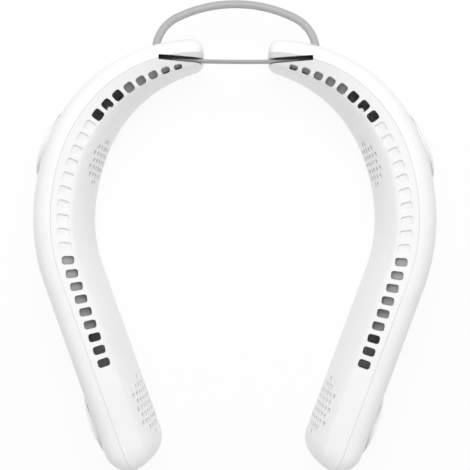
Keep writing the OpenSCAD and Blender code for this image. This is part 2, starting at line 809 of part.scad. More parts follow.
// Air guides under the open vents: sloping liners that come close to the band at their back end
guide_t = 1.2;
guide_margin = 0.4;
guide_gap = 0.8;
guide_fall = 3;
upper_guide_vents = [0:4];
lower_guide_from = upper_vents + blind_vents;
lower_guide_vents = [lower_guide_from:lower_guide_from + 5];

// Places of a guide's sections, each with its vent's half width
function guide_stations(vents) =
    let(
        list = [for (i = vents) i],
        last = len(list) - 1,
        first_s = vent_at(list[0]) - vent_along(list[0]) / 2 - guide_margin,
        last_s = vent_at(list[last]) + vent_along(list[last]) / 2 + guide_margin)
    [for (k = [0:last]) [
        k == 0 ? first_s : k == last ? last_s : vent_at(list[k]),
        vent_across(list[k]) / 2 + guide_margin,
        wall + guide_gap + guide_fall * k / last]];

// A guide's side is held off the inner wall
function guide_side(s, v, u) =
    min(u, wall_side(v, half_w(s) - wall, half_h(s) - wall) - fit_gap - lean(s) * v + shift_in(s));
function guide_point(station, way, low) =
    let(
        s = station[0],
        u = vent_side(s) + way * station[1],
        v = band_at(s, u) - station[2] - low)
    level(s, v, guide_side(s, v, u));

module air_guide(vents) {
    rows = [for (station = guide_stations(vents)) [
        guide_point(station, -1, 0), guide_point(station, 1, 0),
        guide_point(station, 1, guide_t), guide_point(station, -1, guide_t)]];
    last = len(rows) - 1;
    function at(i, j) = i * 4 + j % 4;
    faces = concat(
        [for (i = [0:last - 1], j = [0:3])
            each quad(at(i, j), at(i + 1, j), at(i + 1, j + 1), at(i, j + 1))],
        [[for (j = [3:-1:0]) at(0, j)], [for (j = [0:3]) at(last, j)]]);
    polyhedron(flat_list(rows), faces);
}

module left_upper_air_guide() {
    color(mid_plastic) left() air_guide(upper_guide_vents);
}

module left_lower_air_guide() {
    color(mid_plastic) left() air_guide(lower_guide_vents);
}

// Battery cell in the front half, between the boards and the lower blower, under the middle
cell_from = -12.3;
cell_len = lower_fan_along - cell_front - cell_from;
cell_d = arm_w - 2 * (wall + cell_room);
cell_drop = 0.3;
cell_v = -cell_drop - cell_d / 2;
cell_cap_r = 3;
cell_cap_t = 1.2;
cell_neck = 2.5;
cell_groove = 0.5;

module battery_cell() {
    r = cell_d / 2;
    body = cell_len - cell_cap_t;
    upright(arc_len, cell_v, -lean(arc_len) * cell_v) translate([0, cell_from, 0]) rotate([-90, 0, 0])
        rotate_extrude() polygon([
            [0, 0], [r - cell_groove, 0], [r, cell_groove], [r, body - cell_neck - 2 * cell_groove],
            [r - cell_groove, body - cell_neck - cell_groove], [r, body - cell_neck],
            [r, body - cell_groove], [r - cell_groove, body], [cell_cap_r, body],
            [cell_cap_r, cell_len], [0, cell_len]]);
}

module left_battery_cell() {
    color(cell_blue) left() battery_cell();
}

module left_strip_clamp() {
    color(dark_plastic) left() strip_clamp();
}

// Collar that follows the sleeve's bend inside the arm
module cable_gland() {
    translate([-shoulder_x, shoulder_y, z_mid]) rotate([0, 0, 180 + gland_from])
        rotate_extrude(angle = gland_turn) translate([sleeve_shoulder, 0]) difference() {
            circle(sleeve_r + gland_play + gland_wall);
            circle(sleeve_r + gland_play);
        }
}

module left_cable_gland() {
    color(dark_plastic) left() cable_gland();
}

// Circuit boards on the posts of the outer shells, with the switch under the power button
board_in = 23.8;
board_at = arc_len - board_in;
board_half = 12;
board_high = 14;
board_low = -7;
board_t = 1;
post_r = 1.8;
post_at = 9;
button_v = 3;
flange_r = button_r + 1;
flange_t = 0.9;
nub_t = 0.4;
nub_r = 1.1;
button_over = 0.3;
switch_h = 1.6;
switch_w = 4.5;
switch_gap = 0.05;
switch_body_share = 0.75;
button_top = half_w(board_at) * cos(wall_lean) + button_over;
flange_wall = wall_side(button_v + flange_r, half_w(board_at) - wall, half_h(board_at) - wall);
flange_top = flange_wall * cos(wall_lean) - fit_gap;
nub_low = flange_top - flange_t - nub_t;
board_top = nub_low - button_travel - switch_gap - switch_h;
chip_t = 1;
chip_shares = [[-0.55, 0.35], [0.5, -0.35], [-0.5, -0.5]];
chip_sizes = [[5, 5], [4, 6], [3, 4]];

module circuit_board() {
    across(board_at) {
        translate([-board_high, -board_half, board_top - board_t])
            cube([board_high - board_low, 2 * board_half, board_t]);
        for (i = [0:len(chip_sizes) - 1]) circuit_chip(chip_shares[i], chip_sizes[i]);
    }
}

module circuit_chip(share, size) {
    side = -share[0] * board_low - size[0] / 2 - board_t;
    translate([side, share[1] * board_half - size[1] / 2, board_top - board_t - chip_t])
        cube([size[0], size[1], chip_t + board_t / 2]);
}

module left_protection_board() {
    color(board_green) left() circuit_board();
}

module right_control_board() {
    color(board_green) right() circuit_board();
}

module power_button() {
    color(white_plastic) right() across(board_at, button_v) {
        rod(nub_r, nub_low, flange_top);
        rod(flange_r, flange_top - flange_t, flange_top);
        rod(button_r, flange_top - flange_t / 2, button_top);
    }
}

module button_switch() {
    color(steel) right() across(board_at, button_v) {
        translate([-switch_w / 2, -switch_w / 2, board_top])
            cube([switch_w, switch_w, switch_h * switch_body_share]);
        rod(nub_r, board_top + switch_h / 2, board_top + switch_h);
    }
}

// Charging port in the floor of the right inner shell
port_in = 27.8;
port_at = arc_len - port_in;
port_side_share = 0.14;
port_side = arm_w * port_side_share;
port_low = 0.5;
port_wall = 0.3;
port_back = 1;
port_reach = wall * 3;
tongue_t = 0.7;
tongue_share = 0.7;
tongue_gap = 0.5;
tongue_len = port_len - port_back - tongue_gap;
port_corner_flat = 0.05;
port_post_at = 6.8;
port_post_r = 1.1;
port_board_w_share = 0.234;
port_board_w = arm_w * port_board_w_share;
port_board_half = 8.5;
port_board_z = port_low + port_len;

module at_port() {
    upright(port_at, -z_mid, port_side + lean(port_at) * (z_mid - port_low)) children();
}

module port_prism(grow, z0, z1) {
    corner = port_t / 2 + grow - port_corner_flat;
    translate([0, 0, z0]) linear_extrude(z1 - z0)
        polygon(rounded(port_t + 2 * grow, port_w + 2 * grow, corner));
}

module charging_port() {
    color(steel) right() at_port() {
        difference() {
            port_prism(0, port_low, port_board_z);
            port_prism(-port_wall, port_low - over, port_board_z - port_back);
        }
        translate([-tongue_t / 2, -port_w * tongue_share / 2, port_low + port_back])
            cube([tongue_t, port_w * tongue_share, tongue_len]);
    }
}

module charging_board() {
    color(board_green) right() at_port()
        translate([-port_board_w / 2, -port_board_half, port_board_z])
            cube([port_board_w, 2 * port_board_half, board_t]);
}

module right_inner_shell() {
    color(white_plastic) right() {
        difference() {
            inner_shell_solid();
            at_port() port_prism(fit_gap, -over, port_reach);
        }
        at_port() for (side = [-1, 1]) translate([0, side * port_post_at, 0])
            rod(port_post_r, wall, port_board_z);
    }
}

module neck_strip() {
    color(soft_grey) left() strip_block(-strip_half, strip_half, 0, strip_z, strip_z + strip_h);
}

module cable_sleeve() {
    color(soft_grey) left() translate([0, 0, z_mid]) sleeve_tube();
}

// The right arm's copies of the same pieces
module right_upper_intake_cover() {
    color(white_plastic) right() at_fan(0) intake_cover(FANS[0]);
}

module right_lower_intake_cover() {
    color(white_plastic) right() at_fan(1) intake_cover(FANS[1]);
}

module right_upper_inner_grille() {
    color(white_plastic) right() inner_grille(0);
}

module right_lower_inner_grille() {
    color(white_plastic) right() inner_grille(1);
}

module right_upper_fan_frame() {
    color(dark_plastic) right() at_fan(0) fan_frame();
}

module right_lower_fan_frame() {
    color(dark_plastic) right() at_fan(1) fan_frame();
}

module right_upper_motor() {
    color("peru") right() at_fan(0) motor();
}

module right_lower_motor() {
    color("peru") right() at_fan(1) motor();
}

module right_upper_bearing() {
    color("goldenrod") right() at_fan(0) bearing();
}

module right_lower_bearing() {
    color("goldenrod") right() at_fan(1) bearing();
}

module right_upper_impeller() {
    color(mid_plastic) right() at_fan(0) impeller();
}

module right_lower_impeller() {
    color(mid_plastic) right() at_fan(1) impeller();
}

module right_upper_air_guide() {
    color(mid_plastic) right() air_guide(upper_guide_vents);
}

module right_lower_air_guide() {
    color(mid_plastic) right() air_guide(lower_guide_vents);
}

module right_battery_cell() {
    color(cell_blue) right() battery_cell();
}

module right_fan_screws() {
    color(steel) right() fan_screws();
}

module right_strip_clamp() {
    color(dark_plastic) right() strip_clamp();
}

module right_cable_gland() {
    color(dark_plastic) right() cable_gland();
}

left_outer_shell();
left_inner_shell();
left_upper_intake_cover();
left_lower_intake_cover();
left_upper_inner_grille();
left_lower_inner_grille();
left_upper_fan_frame();
left_lower_fan_frame();
left_upper_motor();
left_lower_motor();
left_upper_bearing();
left_lower_bearing();
left_upper_impeller();
left_lower_impeller();
left_upper_air_guide();
left_lower_air_guide();
left_battery_cell();
left_fan_screws();
left_strip_clamp();
left_cable_gland();
left_protection_board();
right_outer_shell();
right_inner_shell();
right_upper_intake_cover();
right_lower_intake_cover();
right_upper_inner_grille();
right_lower_inner_grille();
right_upper_fan_frame();
right_lower_fan_frame();
right_upper_motor();
right_lower_motor();
right_upper_bearing();
right_lower_bearing();
right_upper_impeller();
right_lower_impeller();
right_upper_air_guide();
right_lower_air_guide();
right_battery_cell();
right_fan_screws();
right_strip_clamp();
right_cable_gland();
right_control_board();
power_button();
button_switch();
charging_port();
charging_board();
neck_strip();
cable_sleeve();
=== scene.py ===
"""Looks of the electric neck fan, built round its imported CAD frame."""

from __future__ import annotations

import json
import logging
from dataclasses import dataclass, field
from enum import Enum
from math import acos, asin, atan, atan2, copysign, cos, hypot, pi, radians, sin, sqrt, tan, tau
from typing import Callable, Iterable, Sequence

import bmesh
import bpy
from bmesh.types import BMEdge, BMesh, BMVert
from mathutils import Matrix, Vector

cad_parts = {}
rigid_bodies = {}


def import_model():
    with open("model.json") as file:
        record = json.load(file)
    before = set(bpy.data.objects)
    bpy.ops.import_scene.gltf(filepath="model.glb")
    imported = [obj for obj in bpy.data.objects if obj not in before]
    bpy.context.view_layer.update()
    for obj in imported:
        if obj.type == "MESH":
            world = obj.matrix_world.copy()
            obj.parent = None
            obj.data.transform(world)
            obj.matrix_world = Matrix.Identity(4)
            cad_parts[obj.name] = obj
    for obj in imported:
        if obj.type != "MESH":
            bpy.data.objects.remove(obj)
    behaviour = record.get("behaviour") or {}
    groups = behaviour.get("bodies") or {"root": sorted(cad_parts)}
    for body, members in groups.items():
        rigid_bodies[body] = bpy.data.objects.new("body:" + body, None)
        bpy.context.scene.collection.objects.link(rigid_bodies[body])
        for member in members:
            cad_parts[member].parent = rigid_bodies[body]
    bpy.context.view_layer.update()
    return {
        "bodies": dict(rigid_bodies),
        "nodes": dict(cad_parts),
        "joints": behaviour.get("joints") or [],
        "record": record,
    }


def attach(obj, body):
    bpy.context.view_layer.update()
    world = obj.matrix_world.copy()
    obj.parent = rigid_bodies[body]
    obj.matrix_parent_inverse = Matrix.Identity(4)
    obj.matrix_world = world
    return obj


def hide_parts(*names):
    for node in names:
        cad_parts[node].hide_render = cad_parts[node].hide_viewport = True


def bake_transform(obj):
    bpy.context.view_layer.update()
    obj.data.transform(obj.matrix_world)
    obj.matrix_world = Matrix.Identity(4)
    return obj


LOG = logging.getLogger("neck_fan")
MM = 0.001
ARC_STEPS = 48


class Side(Enum):
    """Which arm a piece belongs to."""

    LEFT = "left"
    RIGHT = "right"

    @property
    def body(self) -> str:
        """Name of the arm's CAD body."""
        return f"{self.value}_arm"


class Fan(Enum):
    """The two blowers of an arm."""

    UPPER = "upper"
    LOWER = "lower"


# Shader maths


class Wire:
    """A shader socket that takes part in Python expressions."""

    def __init__(self, kit: "Nodes", socket: bpy.types.NodeSocket) -> None:
        """Keep the node kit and the socket that carries the value."""
        self.kit = kit
        self.socket = socket

    def _math(self, operation: str, *values: "Wire | float") -> "Wire":
        """Add one Math node on numbers or wires."""
        inputs = {i: v for i, v in enumerate(values)}
        return self.kit.node("ShaderNodeMath", {"operation": operation}, inputs)

    def __add__(self, other: "Wire | float") -> "Wire":
        """Sum."""
        return self._math("ADD", self, other)

    __radd__ = __add__

    def __sub__(self, other: "Wire | float") -> "Wire":
        """Difference."""
        return self._math("SUBTRACT", self, other)

    def __rsub__(self, other: float) -> "Wire":
        """Reflected difference."""
        return self._math("SUBTRACT", other, self)

    def __mul__(self, other: "Wire | float") -> "Wire":
        """Product."""
        return self._math("MULTIPLY", self, other)

    __rmul__ = __mul__

    def ramp(self, *stops: tuple[float, float]) -> "Wire":
        """Map the value over grey stops of (position, level)."""
        settings = {"stops": [(p, (v, v, v, 1.0)) for p, v in stops]}
        return self.kit.node("ShaderNodeValToRGB", settings, {"Fac": self})


class Nodes:
    """Adds nodes to an emptied node tree."""

    def __init__(self, owner: bpy.types.Material | bpy.types.World, output: str) -> None:
        """Empty the owner's tree and give it an output node of Blender's given type."""
        owner.use_nodes = True
        self.tree = owner.node_tree
        self.tree.nodes.clear()
        self.output = self.tree.nodes.new(output)

    def node(self, kind: str, settings: dict, inputs: dict, output: int | str = 0) -> Wire:
        """Add a node, with its settings first and then its sockets.

        Args:
            kind: Blender's node type.
            settings: Attributes of the node; "stops" fills a colour ramp.
            inputs: Socket name or index to a number, colour, vector or wire.
            output: The socket that the wire carries on.

        Returns:
            The node's output as a wire.
        """
        made = self.tree.nodes.new(kind)
        for key, value in settings.items():
            if key == "stops":
                self._fill_ramp(made.color_ramp, value)
            else:
                setattr(made, key, value)
        for key, value in inputs.items():
            self.feed(made.inputs[key], value)
        return Wire(self, made.outputs[output])

    @staticmethod
    def _fill_ramp(ramp: bpy.types.ColorRamp, stops: Sequence[tuple]) -> None:
        """Give a colour ramp its stops."""
        while len(ramp.elements) < len(stops):
            ramp.elements.new(0.5)
        for element, (position, colour) in zip(ramp.elements, stops):
            element.position = position
            element.color = colour

    def feed(self, socket: bpy.types.NodeSocket, value: "Wire | float | Sequence") -> None:
        """Link a wire to a socket, or set the socket's own value."""
        if isinstance(value, Wire):
            self.tree.links.new(value.socket, socket)
        elif isinstance(value, (tuple, list)) and socket.type == "RGBA" and len(value) == 3:
            socket.default_value = (*value, 1.0)
        else:
            socket.default_value = value

    def finish(self, surface: Wire) -> None:
        """Link the tree's last shader to its output."""
        self.feed(self.output.inputs["Surface"], surface)


class Shader(Nodes):
    """Builds one material's nodes round a Principled shader."""

    def __init__(self, name: str) -> None:
        """Start a material that holds only a Principled shader."""
        self.material = bpy.data.materials.new(name)
        super().__init__(self.material, "ShaderNodeOutputMaterial")
        self.surface = self.tree.nodes.new("ShaderNodeBsdfPrincipled")
        self.finish(Wire(self, self.surface.outputs[0]))

    def place(self, scale: Sequence[float] = (1, 1, 1)) -> Wire:
        """Object coordinates in metres, stretched by a scale."""
        coords = self.node("ShaderNodeTexCoord", {}, {}, "Object")
        return self.node("ShaderNodeMapping", {}, {"Vector": coords, "Scale": tuple(scale)})

    def noise(self, scale: float, detail: float = 3, stretch: Sequence[float] = (1, 1, 1)) -> Wire:
        """Grey noise on Object coordinates."""
        inputs = {"Vector": self.place(stretch), "Scale": scale, "Detail": detail}
        return self.node("ShaderNodeTexNoise", {}, inputs)

    def blend(self, mask: Wire | float, first: Sequence, second: Sequence) -> Wire:
        """Mix two colours by a mask; a Mix node's colours are its sockets 6 and 7, and its output 2."""
        inputs = {"Factor": mask, 6: first, 7: second}
        return self.node("ShaderNodeMix", {"data_type": "RGBA"}, inputs, 2)

    def bump(self, height: Wire, depth: float) -> Wire:
        """Turn a height into a normal; depth is in metres."""
        return self.node("ShaderNodeBump", {}, {"Height": height, "Distance": depth})

    def set(self, **sockets: "Wire | float | Sequence") -> None:
        """Feed the Principled shader's sockets; underscores stand for spaces."""
        for name, value in sockets.items():
            self.feed(self.surface.inputs[name.replace("_", " ")], value)


def tinted(colour: Sequence[float], factor: float) -> tuple[float, float, float]:
    """A colour made lighter or darker by a factor."""
    return tuple(min(1.0, c * factor) for c in colour)


@dataclass(frozen=True)
class Finish:
    """A material of the object."""

    name: str
    colour: tuple[float, float, float]

    def build(self) -> bpy.types.Material:
        """Make the material."""
        shader = Shader(self.name)
        self.fill(shader)
        return shader.material

    def fill(self, shader: Shader) -> None:
        """Add the finish's nodes."""
        raise NotImplementedError


@dataclass(frozen=True)
class MouldedPlastic(Finish):
    """Moulded plastic with a fine spark-eroded grain and slight unevenness."""

    roughness: float = 0.4
    grain: float = 0.000012
    grain_scale: float = 2600.0
    variation: float = 0.03
    under_glow: float = 0.0
    cloud_rough: float = 0.08
    grain_rough: float = 0.05

    def fill(self, shader: Shader) -> None:
        """Add the finish's nodes."""
        cloud = shader.noise(38, 4)
        fine = shader.noise(self.grain_scale, 2)
        darker = tinted(self.colour, 1 - self.variation)
        base = shader.blend(cloud.ramp((0.3, 0), (0.7, 1)), self.colour, darker)
        level = self.roughness - (self.cloud_rough + self.grain_rough) / 2
        rough = cloud * self.cloud_rough + fine * self.grain_rough + level
        shader.set(Base_Color=base, Roughness=rough, Normal=shader.bump(fine, self.grain), IOR=1.49)
        if self.under_glow:
            shader.set(Subsurface_Weight=self.under_glow, Subsurface_Radius=(1.0, 0.9, 0.8))
            shader.set(Subsurface_Scale=0.0012)


@dataclass(frozen=True)
class SoftRubber(Finish):
    """Silicone with a dusty matt skin."""

    roughness: float = 0.62
    dust_light: float = 1.08
    dust_rough: float = 0.12

    def fill(self, shader: Shader) -> None:
        """Add the finish's nodes."""
        dust = shader.noise(160, 5)
        pores = shader.noise(3400, 2)
        dusty = tinted(self.colour, self.dust_light)
        base = shader.blend(dust.ramp((0.35, 0), (0.75, 1)), self.colour, dusty)
        rough = dust * self.dust_rough + (self.roughness - self.dust_rough / 2)
        shader.set(Base_Color=base, Roughness=rough, IOR=1.43)
        shader.set(Normal=shader.bump(pores, 0.00002), Sheen_Weight=0.15, Sheen_Roughness=0.5)


@dataclass(frozen=True)
class TurnedMetal(Finish):
    """Metal with fine tool marks."""

    roughness: float = 0.3
    stretch: tuple[float, float, float] = (1.0, 1.0, 12.0)
    mark_rough: float = 0.18

    def fill(self, shader: Shader) -> None:
        """Add the finish's nodes."""
        marks = shader.noise(900, 3, self.stretch)
        cloud = shader.noise(120, 3)
        base = shader.blend(cloud, self.colour, tinted(self.colour, 0.86))
        rough = marks * self.mark_rough + (self.roughness - self.mark_rough / 2)
        shader.set(Base_Color=base, Metallic=1.0, Roughness=rough)
        shader.set(Normal=shader.bump(marks, 0.000008))


@dataclass(frozen=True)
class CircuitBoard(Finish):
    """Lacquered board with tracks under the lacquer."""

    def fill(self, shader: Shader) -> None:
        """Add the finish's nodes."""
        inputs = {"Vector": shader.place(), "Scale": 420.0}
        gaps = shader.node("ShaderNodeTexVoronoi", {"feature": "DISTANCE_TO_EDGE"}, inputs, "Distance")
        tracks = gaps.ramp((0.0, 0), (0.05, 0), (0.07, 1))
        base = shader.blend(tracks, tinted(self.colour, 0.6), tinted(self.colour, 1.5))
        shader.set(Base_Color=base, Roughness=0.3, Coat_Weight=0.5)
        shader.set(Normal=shader.bump(tracks, 0.00003))


@dataclass(frozen=True)
class WoundCopper(Finish):
    """Varnished winding: fine parallel turns of wire."""

    def fill(self, shader: Shader) -> None:
        """Add the finish's nodes."""
        settings = {"wave_type": "BANDS", "bands_direction": "Z"}
        inputs = {"Vector": shader.place(), "Scale": 900.0, "Distortion": 0.4}
        turns = shader.node("ShaderNodeTexWave", settings, inputs)
        cloud = shader.noise(300, 2)
        base = shader.blend(cloud, self.colour, tinted(self.colour, 0.7))
        shader.set(Base_Color=base, Metallic=0.85, Roughness=turns * 0.1 + 0.28)
        shader.set(Normal=shader.bump(turns, 0.0001))


# Form of the arms


def unit(t: float) -> float:
    """Hold a number between 0 and 1."""
    return min(1.0, max(0.0, t))


def signed_power(x: float, exponent: float) -> float:
    """Power that keeps the sign."""
    return copysign(abs(x) ** exponent, x)


def spread(start: float, end: float, count: int) -> list[float]:
    """Evenly spaced numbers, both ends among them."""
    return [start + (end - start) * i / count for i in range(count + 1)]


@dataclass(frozen=True)
class ArmForm:
    """Swept form of one arm, in millimetres and degrees, as in the construction."""

    bend_r: float = 84.4
    back_angle: float = 11.0
    wrap_angle: float = 99.0
    straight_len: float = 99.0
    arm_w: float = 25.6
    back_w: float = 14.2
    arm_h: float = 50.0
    back_h: float = 40.0
    taper_len: float = 95.0
    wall_lean: float = 8.2
    tip_r: float = 12.4
    back_r: float = 5.0
    back_draw: float = 1.6
    belly: float = 1.6
    back_blend_len: float = 42.0
    wall: float = 1.8
    roundness: float = 2.4
    land_share: float = 0.03
    crease_back_share: float = 0.36
    crease_share: float = 0.56
    seam_share: float = 0.1
    belly_len_share: float = 0.75
    face_turn: float = 8.0
    vent_pitch: float = 6.46
    vent_start: float = 14.2
    upper_vent: float = 4.9
    vent_back_across_share: float = 0.46
    vent_back_along_share: float = 0.85
    vent_skew: float = 13.0
    lower_vent_along: float = 4.1
    lower_vent_across: float = 5.7
    vent_corner: float = 1.3
    upper_vents: int = 8
    blind_vents: int = 10
    lower_vents: int = 9
    vent_in: float = 2.0
    vent_in_back: float = 5.4
    row_in: float = 4.9
    vent_fade_len: float = 60.0
    vent_fade_power: float = 1.2

    @property
    def arc_len(self) -> float:
        """Length of the curved part."""
        return self.bend_r * radians(self.wrap_angle)

    @property
    def arm_len(self) -> float:
        """Length of the whole arm along its spine."""
        return self.arc_len + self.straight_len

    def ease(self, s: float) -> float:
        """Growth of the section from the back end to the front."""
        return sin(pi / 2 * unit(s / self.taper_len))

    def fade(self, s: float) -> float:
        """Share of the back end's own form at a distance along the arm."""
        return max(0.0, 1 - s / self.back_blend_len) ** 2

    def shift_in(self, s: float) -> float:
        """How far the section lies inwards of the spine."""
        swell = sin(pi * unit(s / (self.belly_len_share * self.arc_len))) ** 2
        return self.back_draw * self.fade(s) - self.belly * swell

    def turn(self, s: float) -> float:
        """Direction from the bend's centre to the spine, in radians."""
        return radians(90 + self.back_angle) + min(s, self.arc_len) / self.bend_r

    def facing(self, s: float) -> float:
        """Direction of the section's outer side, in radians."""
        return self.turn(s) - radians(self.face_turn) * self.fade(s)

    def outward(self, s: float) -> Vector:
        """Unit vector out of the arm."""
        return Vector((cos(self.facing(s)), sin(self.facing(s)), 0))

    def level(self, s: float, v: float, u: float) -> Vector:
        """Point at a distance along the arm, a height over its middle and a distance inwards."""
        turn = self.turn(s)
        beyond = max(0.0, s - self.arc_len)
        spine = self.bend_r * Vector((cos(turn), sin(turn), 0))
        spine += beyond * Vector((-sin(turn), cos(turn), 0))
        point = spine - u * self.outward(s)
        return Vector((point.x, point.y, self.arm_h / 2 + v))

    def half_w(self, s: float) -> float:
        """Half width of the section."""
        return (self.back_w + (self.arm_w - self.back_w) * self.ease(s)) / 2

    def half_h(self, s: float) -> float:
        """Half height of the section."""
        return (self.back_h + (self.arm_h - self.back_h) * self.ease(s)) / 2

    def lean(self, s: float) -> float:
        """Outward lean of the walls, as a slope."""
        return tan(radians(self.wall_lean)) * self.ease(s)

    def inset(self, s: float, t: float) -> float:
        """Distance of a skin at depth t from the unrounded section."""

        def rounded(r: float, d: float) -> float:
            """Share of the inset that one rounded end adds."""
            return 0.0 if d >= r else (r - t) - sqrt(max(0.0, (r - t) ** 2 - (r - d) ** 2))

        return t + rounded(self.back_r, s) + rounded(self.tip_r, self.arm_len - s)

    def half_axes(self, s: float, t: float) -> tuple[float, float]:
        """Half axes of the section's skin at depth t."""
        inset = self.inset(s, t)
        return self.half_w(s) - inset, self.half_h(s) - inset

    def on_section(self, s: float, phi: float, t: float) -> tuple[float, float]:
        """Side and height of a skin point in the section, before lean and shift."""
        a, b = self.half_axes(s, t)
        high = b * signed_power(sin(phi), 2 / self.roundness)
        v = max(high * (1 + self.land_share), -b) if high < 0 else high
        return a * signed_power(cos(phi), 2 / self.roundness), v

    def settle(self, s: float, side: float, v: float) -> Vector:
        """Lean and shift a section point into the arm's own space."""
        return self.level(s, v, side - self.lean(s) * v + self.shift_in(s))

    def rim_angle(self, side: float, a: float) -> float:
        """Angle of the section at a side distance from the seam."""
        return acos(max(-1.0, min(1.0, signed_power(side / a, self.roundness / 2))))

    @property
    def land_angle(self) -> float:
        """Angle at which the flat underside starts."""
        return asin((1 / (1 + self.land_share)) ** (self.roundness / 2))

    def crease(self, s: float) -> float:
        """Angle of the edge between the inner wall and the band of vents."""
        drop = self.crease_share - self.crease_back_share
        back = self.fade(s * self.back_blend_len / self.taper_len)
        return pi / 2 * (self.crease_share - drop * back)

    def seam_side(self, s: float) -> float:
        """Side distance of the top seam."""
        return self.seam_share * self.back_w * self.fade(s)

    # Row of vents

    @property
    def vent_count(self) -> int:
        """All vents and recesses of an arm."""
        return self.upper_vents + self.blind_vents + self.lower_vents

    def vent_side(self, s: float) -> float:
        """Side distance of the row of vents."""
        back = max(0.0, 1 - s / self.vent_fade_len) ** self.vent_fade_power
        return self.vent_in + self.vent_in_back * back

    def vent_at(self, i: int) -> float:
        """Distance of a vent along the arm."""
        ratio = self.bend_r / (self.bend_r - self.row_in)
        flat = self.vent_start + i * self.vent_pitch * ratio
        return flat if flat < self.arc_len else self.arc_len + (flat - self.arc_len) / ratio

    def is_blind(self, i: int) -> bool:
        """Whether a vent is only a recess."""
        return self.upper_vents <= i < self.upper_vents + self.blind_vents

    def vent_size(self, i: int) -> tuple[float, float]:
        """Size of a vent across and along the arm."""

        def size(back_share: float, low: float) -> float:
            """Grow from the back vent to the last upper one, and blend to the lower ones."""
            grown = sin(pi / 2 * unit(i / (self.upper_vents - 1)))
            up = self.upper_vent * (back_share + (1 - back_share) * grown)
            return up + (low - up) * unit((i - self.upper_vents + 1) / (self.blind_vents + 1))

        return (size(self.vent_back_across_share, self.lower_vent_across),
                size(self.vent_back_along_share, self.lower_vent_along))

    def vent_turn(self, i: int) -> Matrix:
        """Turn of a vent in its row."""
        share = unit((i - self.upper_vents) / (self.vent_count - self.upper_vents))
        return Matrix.Rotation(-radians(self.vent_skew) * sin(pi * share), 4, "Z")

    def band_height(self, s: float, side: float) -> float:
        """Height of the vented band at a side distance in the arm's space."""
        in_section = side + self.lean(s) * self.half_h(s) - self.shift_in(s)
        edge_side, edge_v = self.on_section(s, self.crease(s), 0)
        top = self.half_h(s)
        return top + (edge_v - top) * unit(in_section / edge_side)

    def band_slope(self, s: float) -> float:
        """How steeply the vented band falls towards the inner side."""
        edge_side, edge_v = self.on_section(s, self.crease(s), 0)
        return (self.half_h(s) - edge_v) / edge_side

    # Local frames

    def upright(self, s: float, v: float, u: float) -> Matrix:
        """Z up, X out of the outer wall, Y along the arm."""
        return Matrix.Translation(self.level(s, v, u)) @ Matrix.Rotation(self.facing(s), 4, "Z")

    def across(self, s: float, v: float = 0.0) -> Matrix:
        """Z out of the outer wall, Y along the arm, -X up."""
        tilt = pi / 2 + atan(self.lean(s))
        frame = self.upright(s, 0, self.shift_in(s))
        return frame @ Matrix.Rotation(tilt, 4, "Y") @ Matrix.Translation((-v, 0, 0))


@dataclass(frozen=True)
class Layout:
    """Places and sizes of the pieces on an arm, in millimetres and degrees.

    The reach is farther than any wall lies from the middle of an arm, for cutters that go right through.
    """

    shift_y: float = 7.28109
    upper_fan_share: float = 0.573
    lower_fan_along: float = 71.4
    frame_half: float = 7.2
    cover_r: float = 18.8
    cover_proud: float = 2.4
    cover_gap: float = 0.3
    upper_grille_r: float = 13.43
    lower_grille_r: float = 16.201
    grille_pitch: float = 4.046
    grille_hole: float = 2.5085
    grille_rim: float = 2.0068
    strip_t: float = 1.3
    strip_h: float = 7.0
    strip_z: float = 31.5
    strip_half: float = 36.0
    strip_y: float = 76.5
    strip_bow: float = 0.8
    slot_gap: float = 0.55
    sleeve_r: float = 2.0
    sleeve_half: float = 39.5
    sleeve_y: float = 86.0
    sleeve_top: float = 106.5
    sleeve_shoulder: float = 19.0
    sleeve_entry: float = 10.0
    entry_gap: float = 0.35
    board_in: float = 23.8
    button_r: float = 3.4
    button_v: float = 3.0
    button_over: float = 0.3
    button_gap: float = 0.15
    port_in: float = 27.8
    port_side: float = 3.584
    port_w: float = 8.9
    port_t: float = 3.2
    port_low: float = 0.5
    port_gap: float = 0.4
    reach: float = 30.0

    def fan_at(self, form: ArmForm, fan: Fan) -> float:
        """Distance of a blower along the arm."""
        if fan is Fan.UPPER:
            return form.arc_len * self.upper_fan_share
        return form.arc_len + self.lower_fan_along

    def grille_r(self, fan: Fan) -> float:
        """Radius of a blower's inner grille."""
        return self.upper_grille_r if fan is Fan.UPPER else self.lower_grille_r


# Shaping tools


def chain(ring: Sequence[BMVert], bm: BMesh) -> list[BMEdge]:
    """Edges of a closed ring of vertices."""
    return [bm.edges.get((ring[i - 1], ring[i])) for i in range(len(ring))]


def loft(rings: Sequence[Sequence[Vector]], cap: bool = True) -> tuple[BMesh, list, list]:
    """Extrude a closed ring of vertices from station to station.

    Args:
        rings: Points of each station, in the same order.
        cap: Whether to close both ends with flat faces.

    Returns:
        The bmesh with the first and the last ring of vertices.
    """
    bm = bmesh.new()
    circle = bmesh.ops.create_circle(bm, cap_ends=False, segments=len(rings[0]), radius=1.0)
    ring = list(circle["verts"])
    for vert, point in zip(ring, rings[0]):
        vert.co = point
    first = ring
    for points in rings[1:]:
        grown = bmesh.ops.extrude_edge_only(bm, edges=chain(ring, bm))["geom"]
        fresh = {g for g in grown if isinstance(g, BMVert)}
        ring = [next(e.other_vert(v) for e in v.link_edges if e.other_vert(v) in fresh) for v in ring]
        for vert, point in zip(ring, points):
            vert.co = point
    if cap:
        bmesh.ops.contextual_create(bm, geom=chain(first, bm))
        bmesh.ops.contextual_create(bm, geom=chain(ring, bm))
        bmesh.ops.recalc_face_normals(bm, faces=bm.faces[:])
    return bm, first, ring


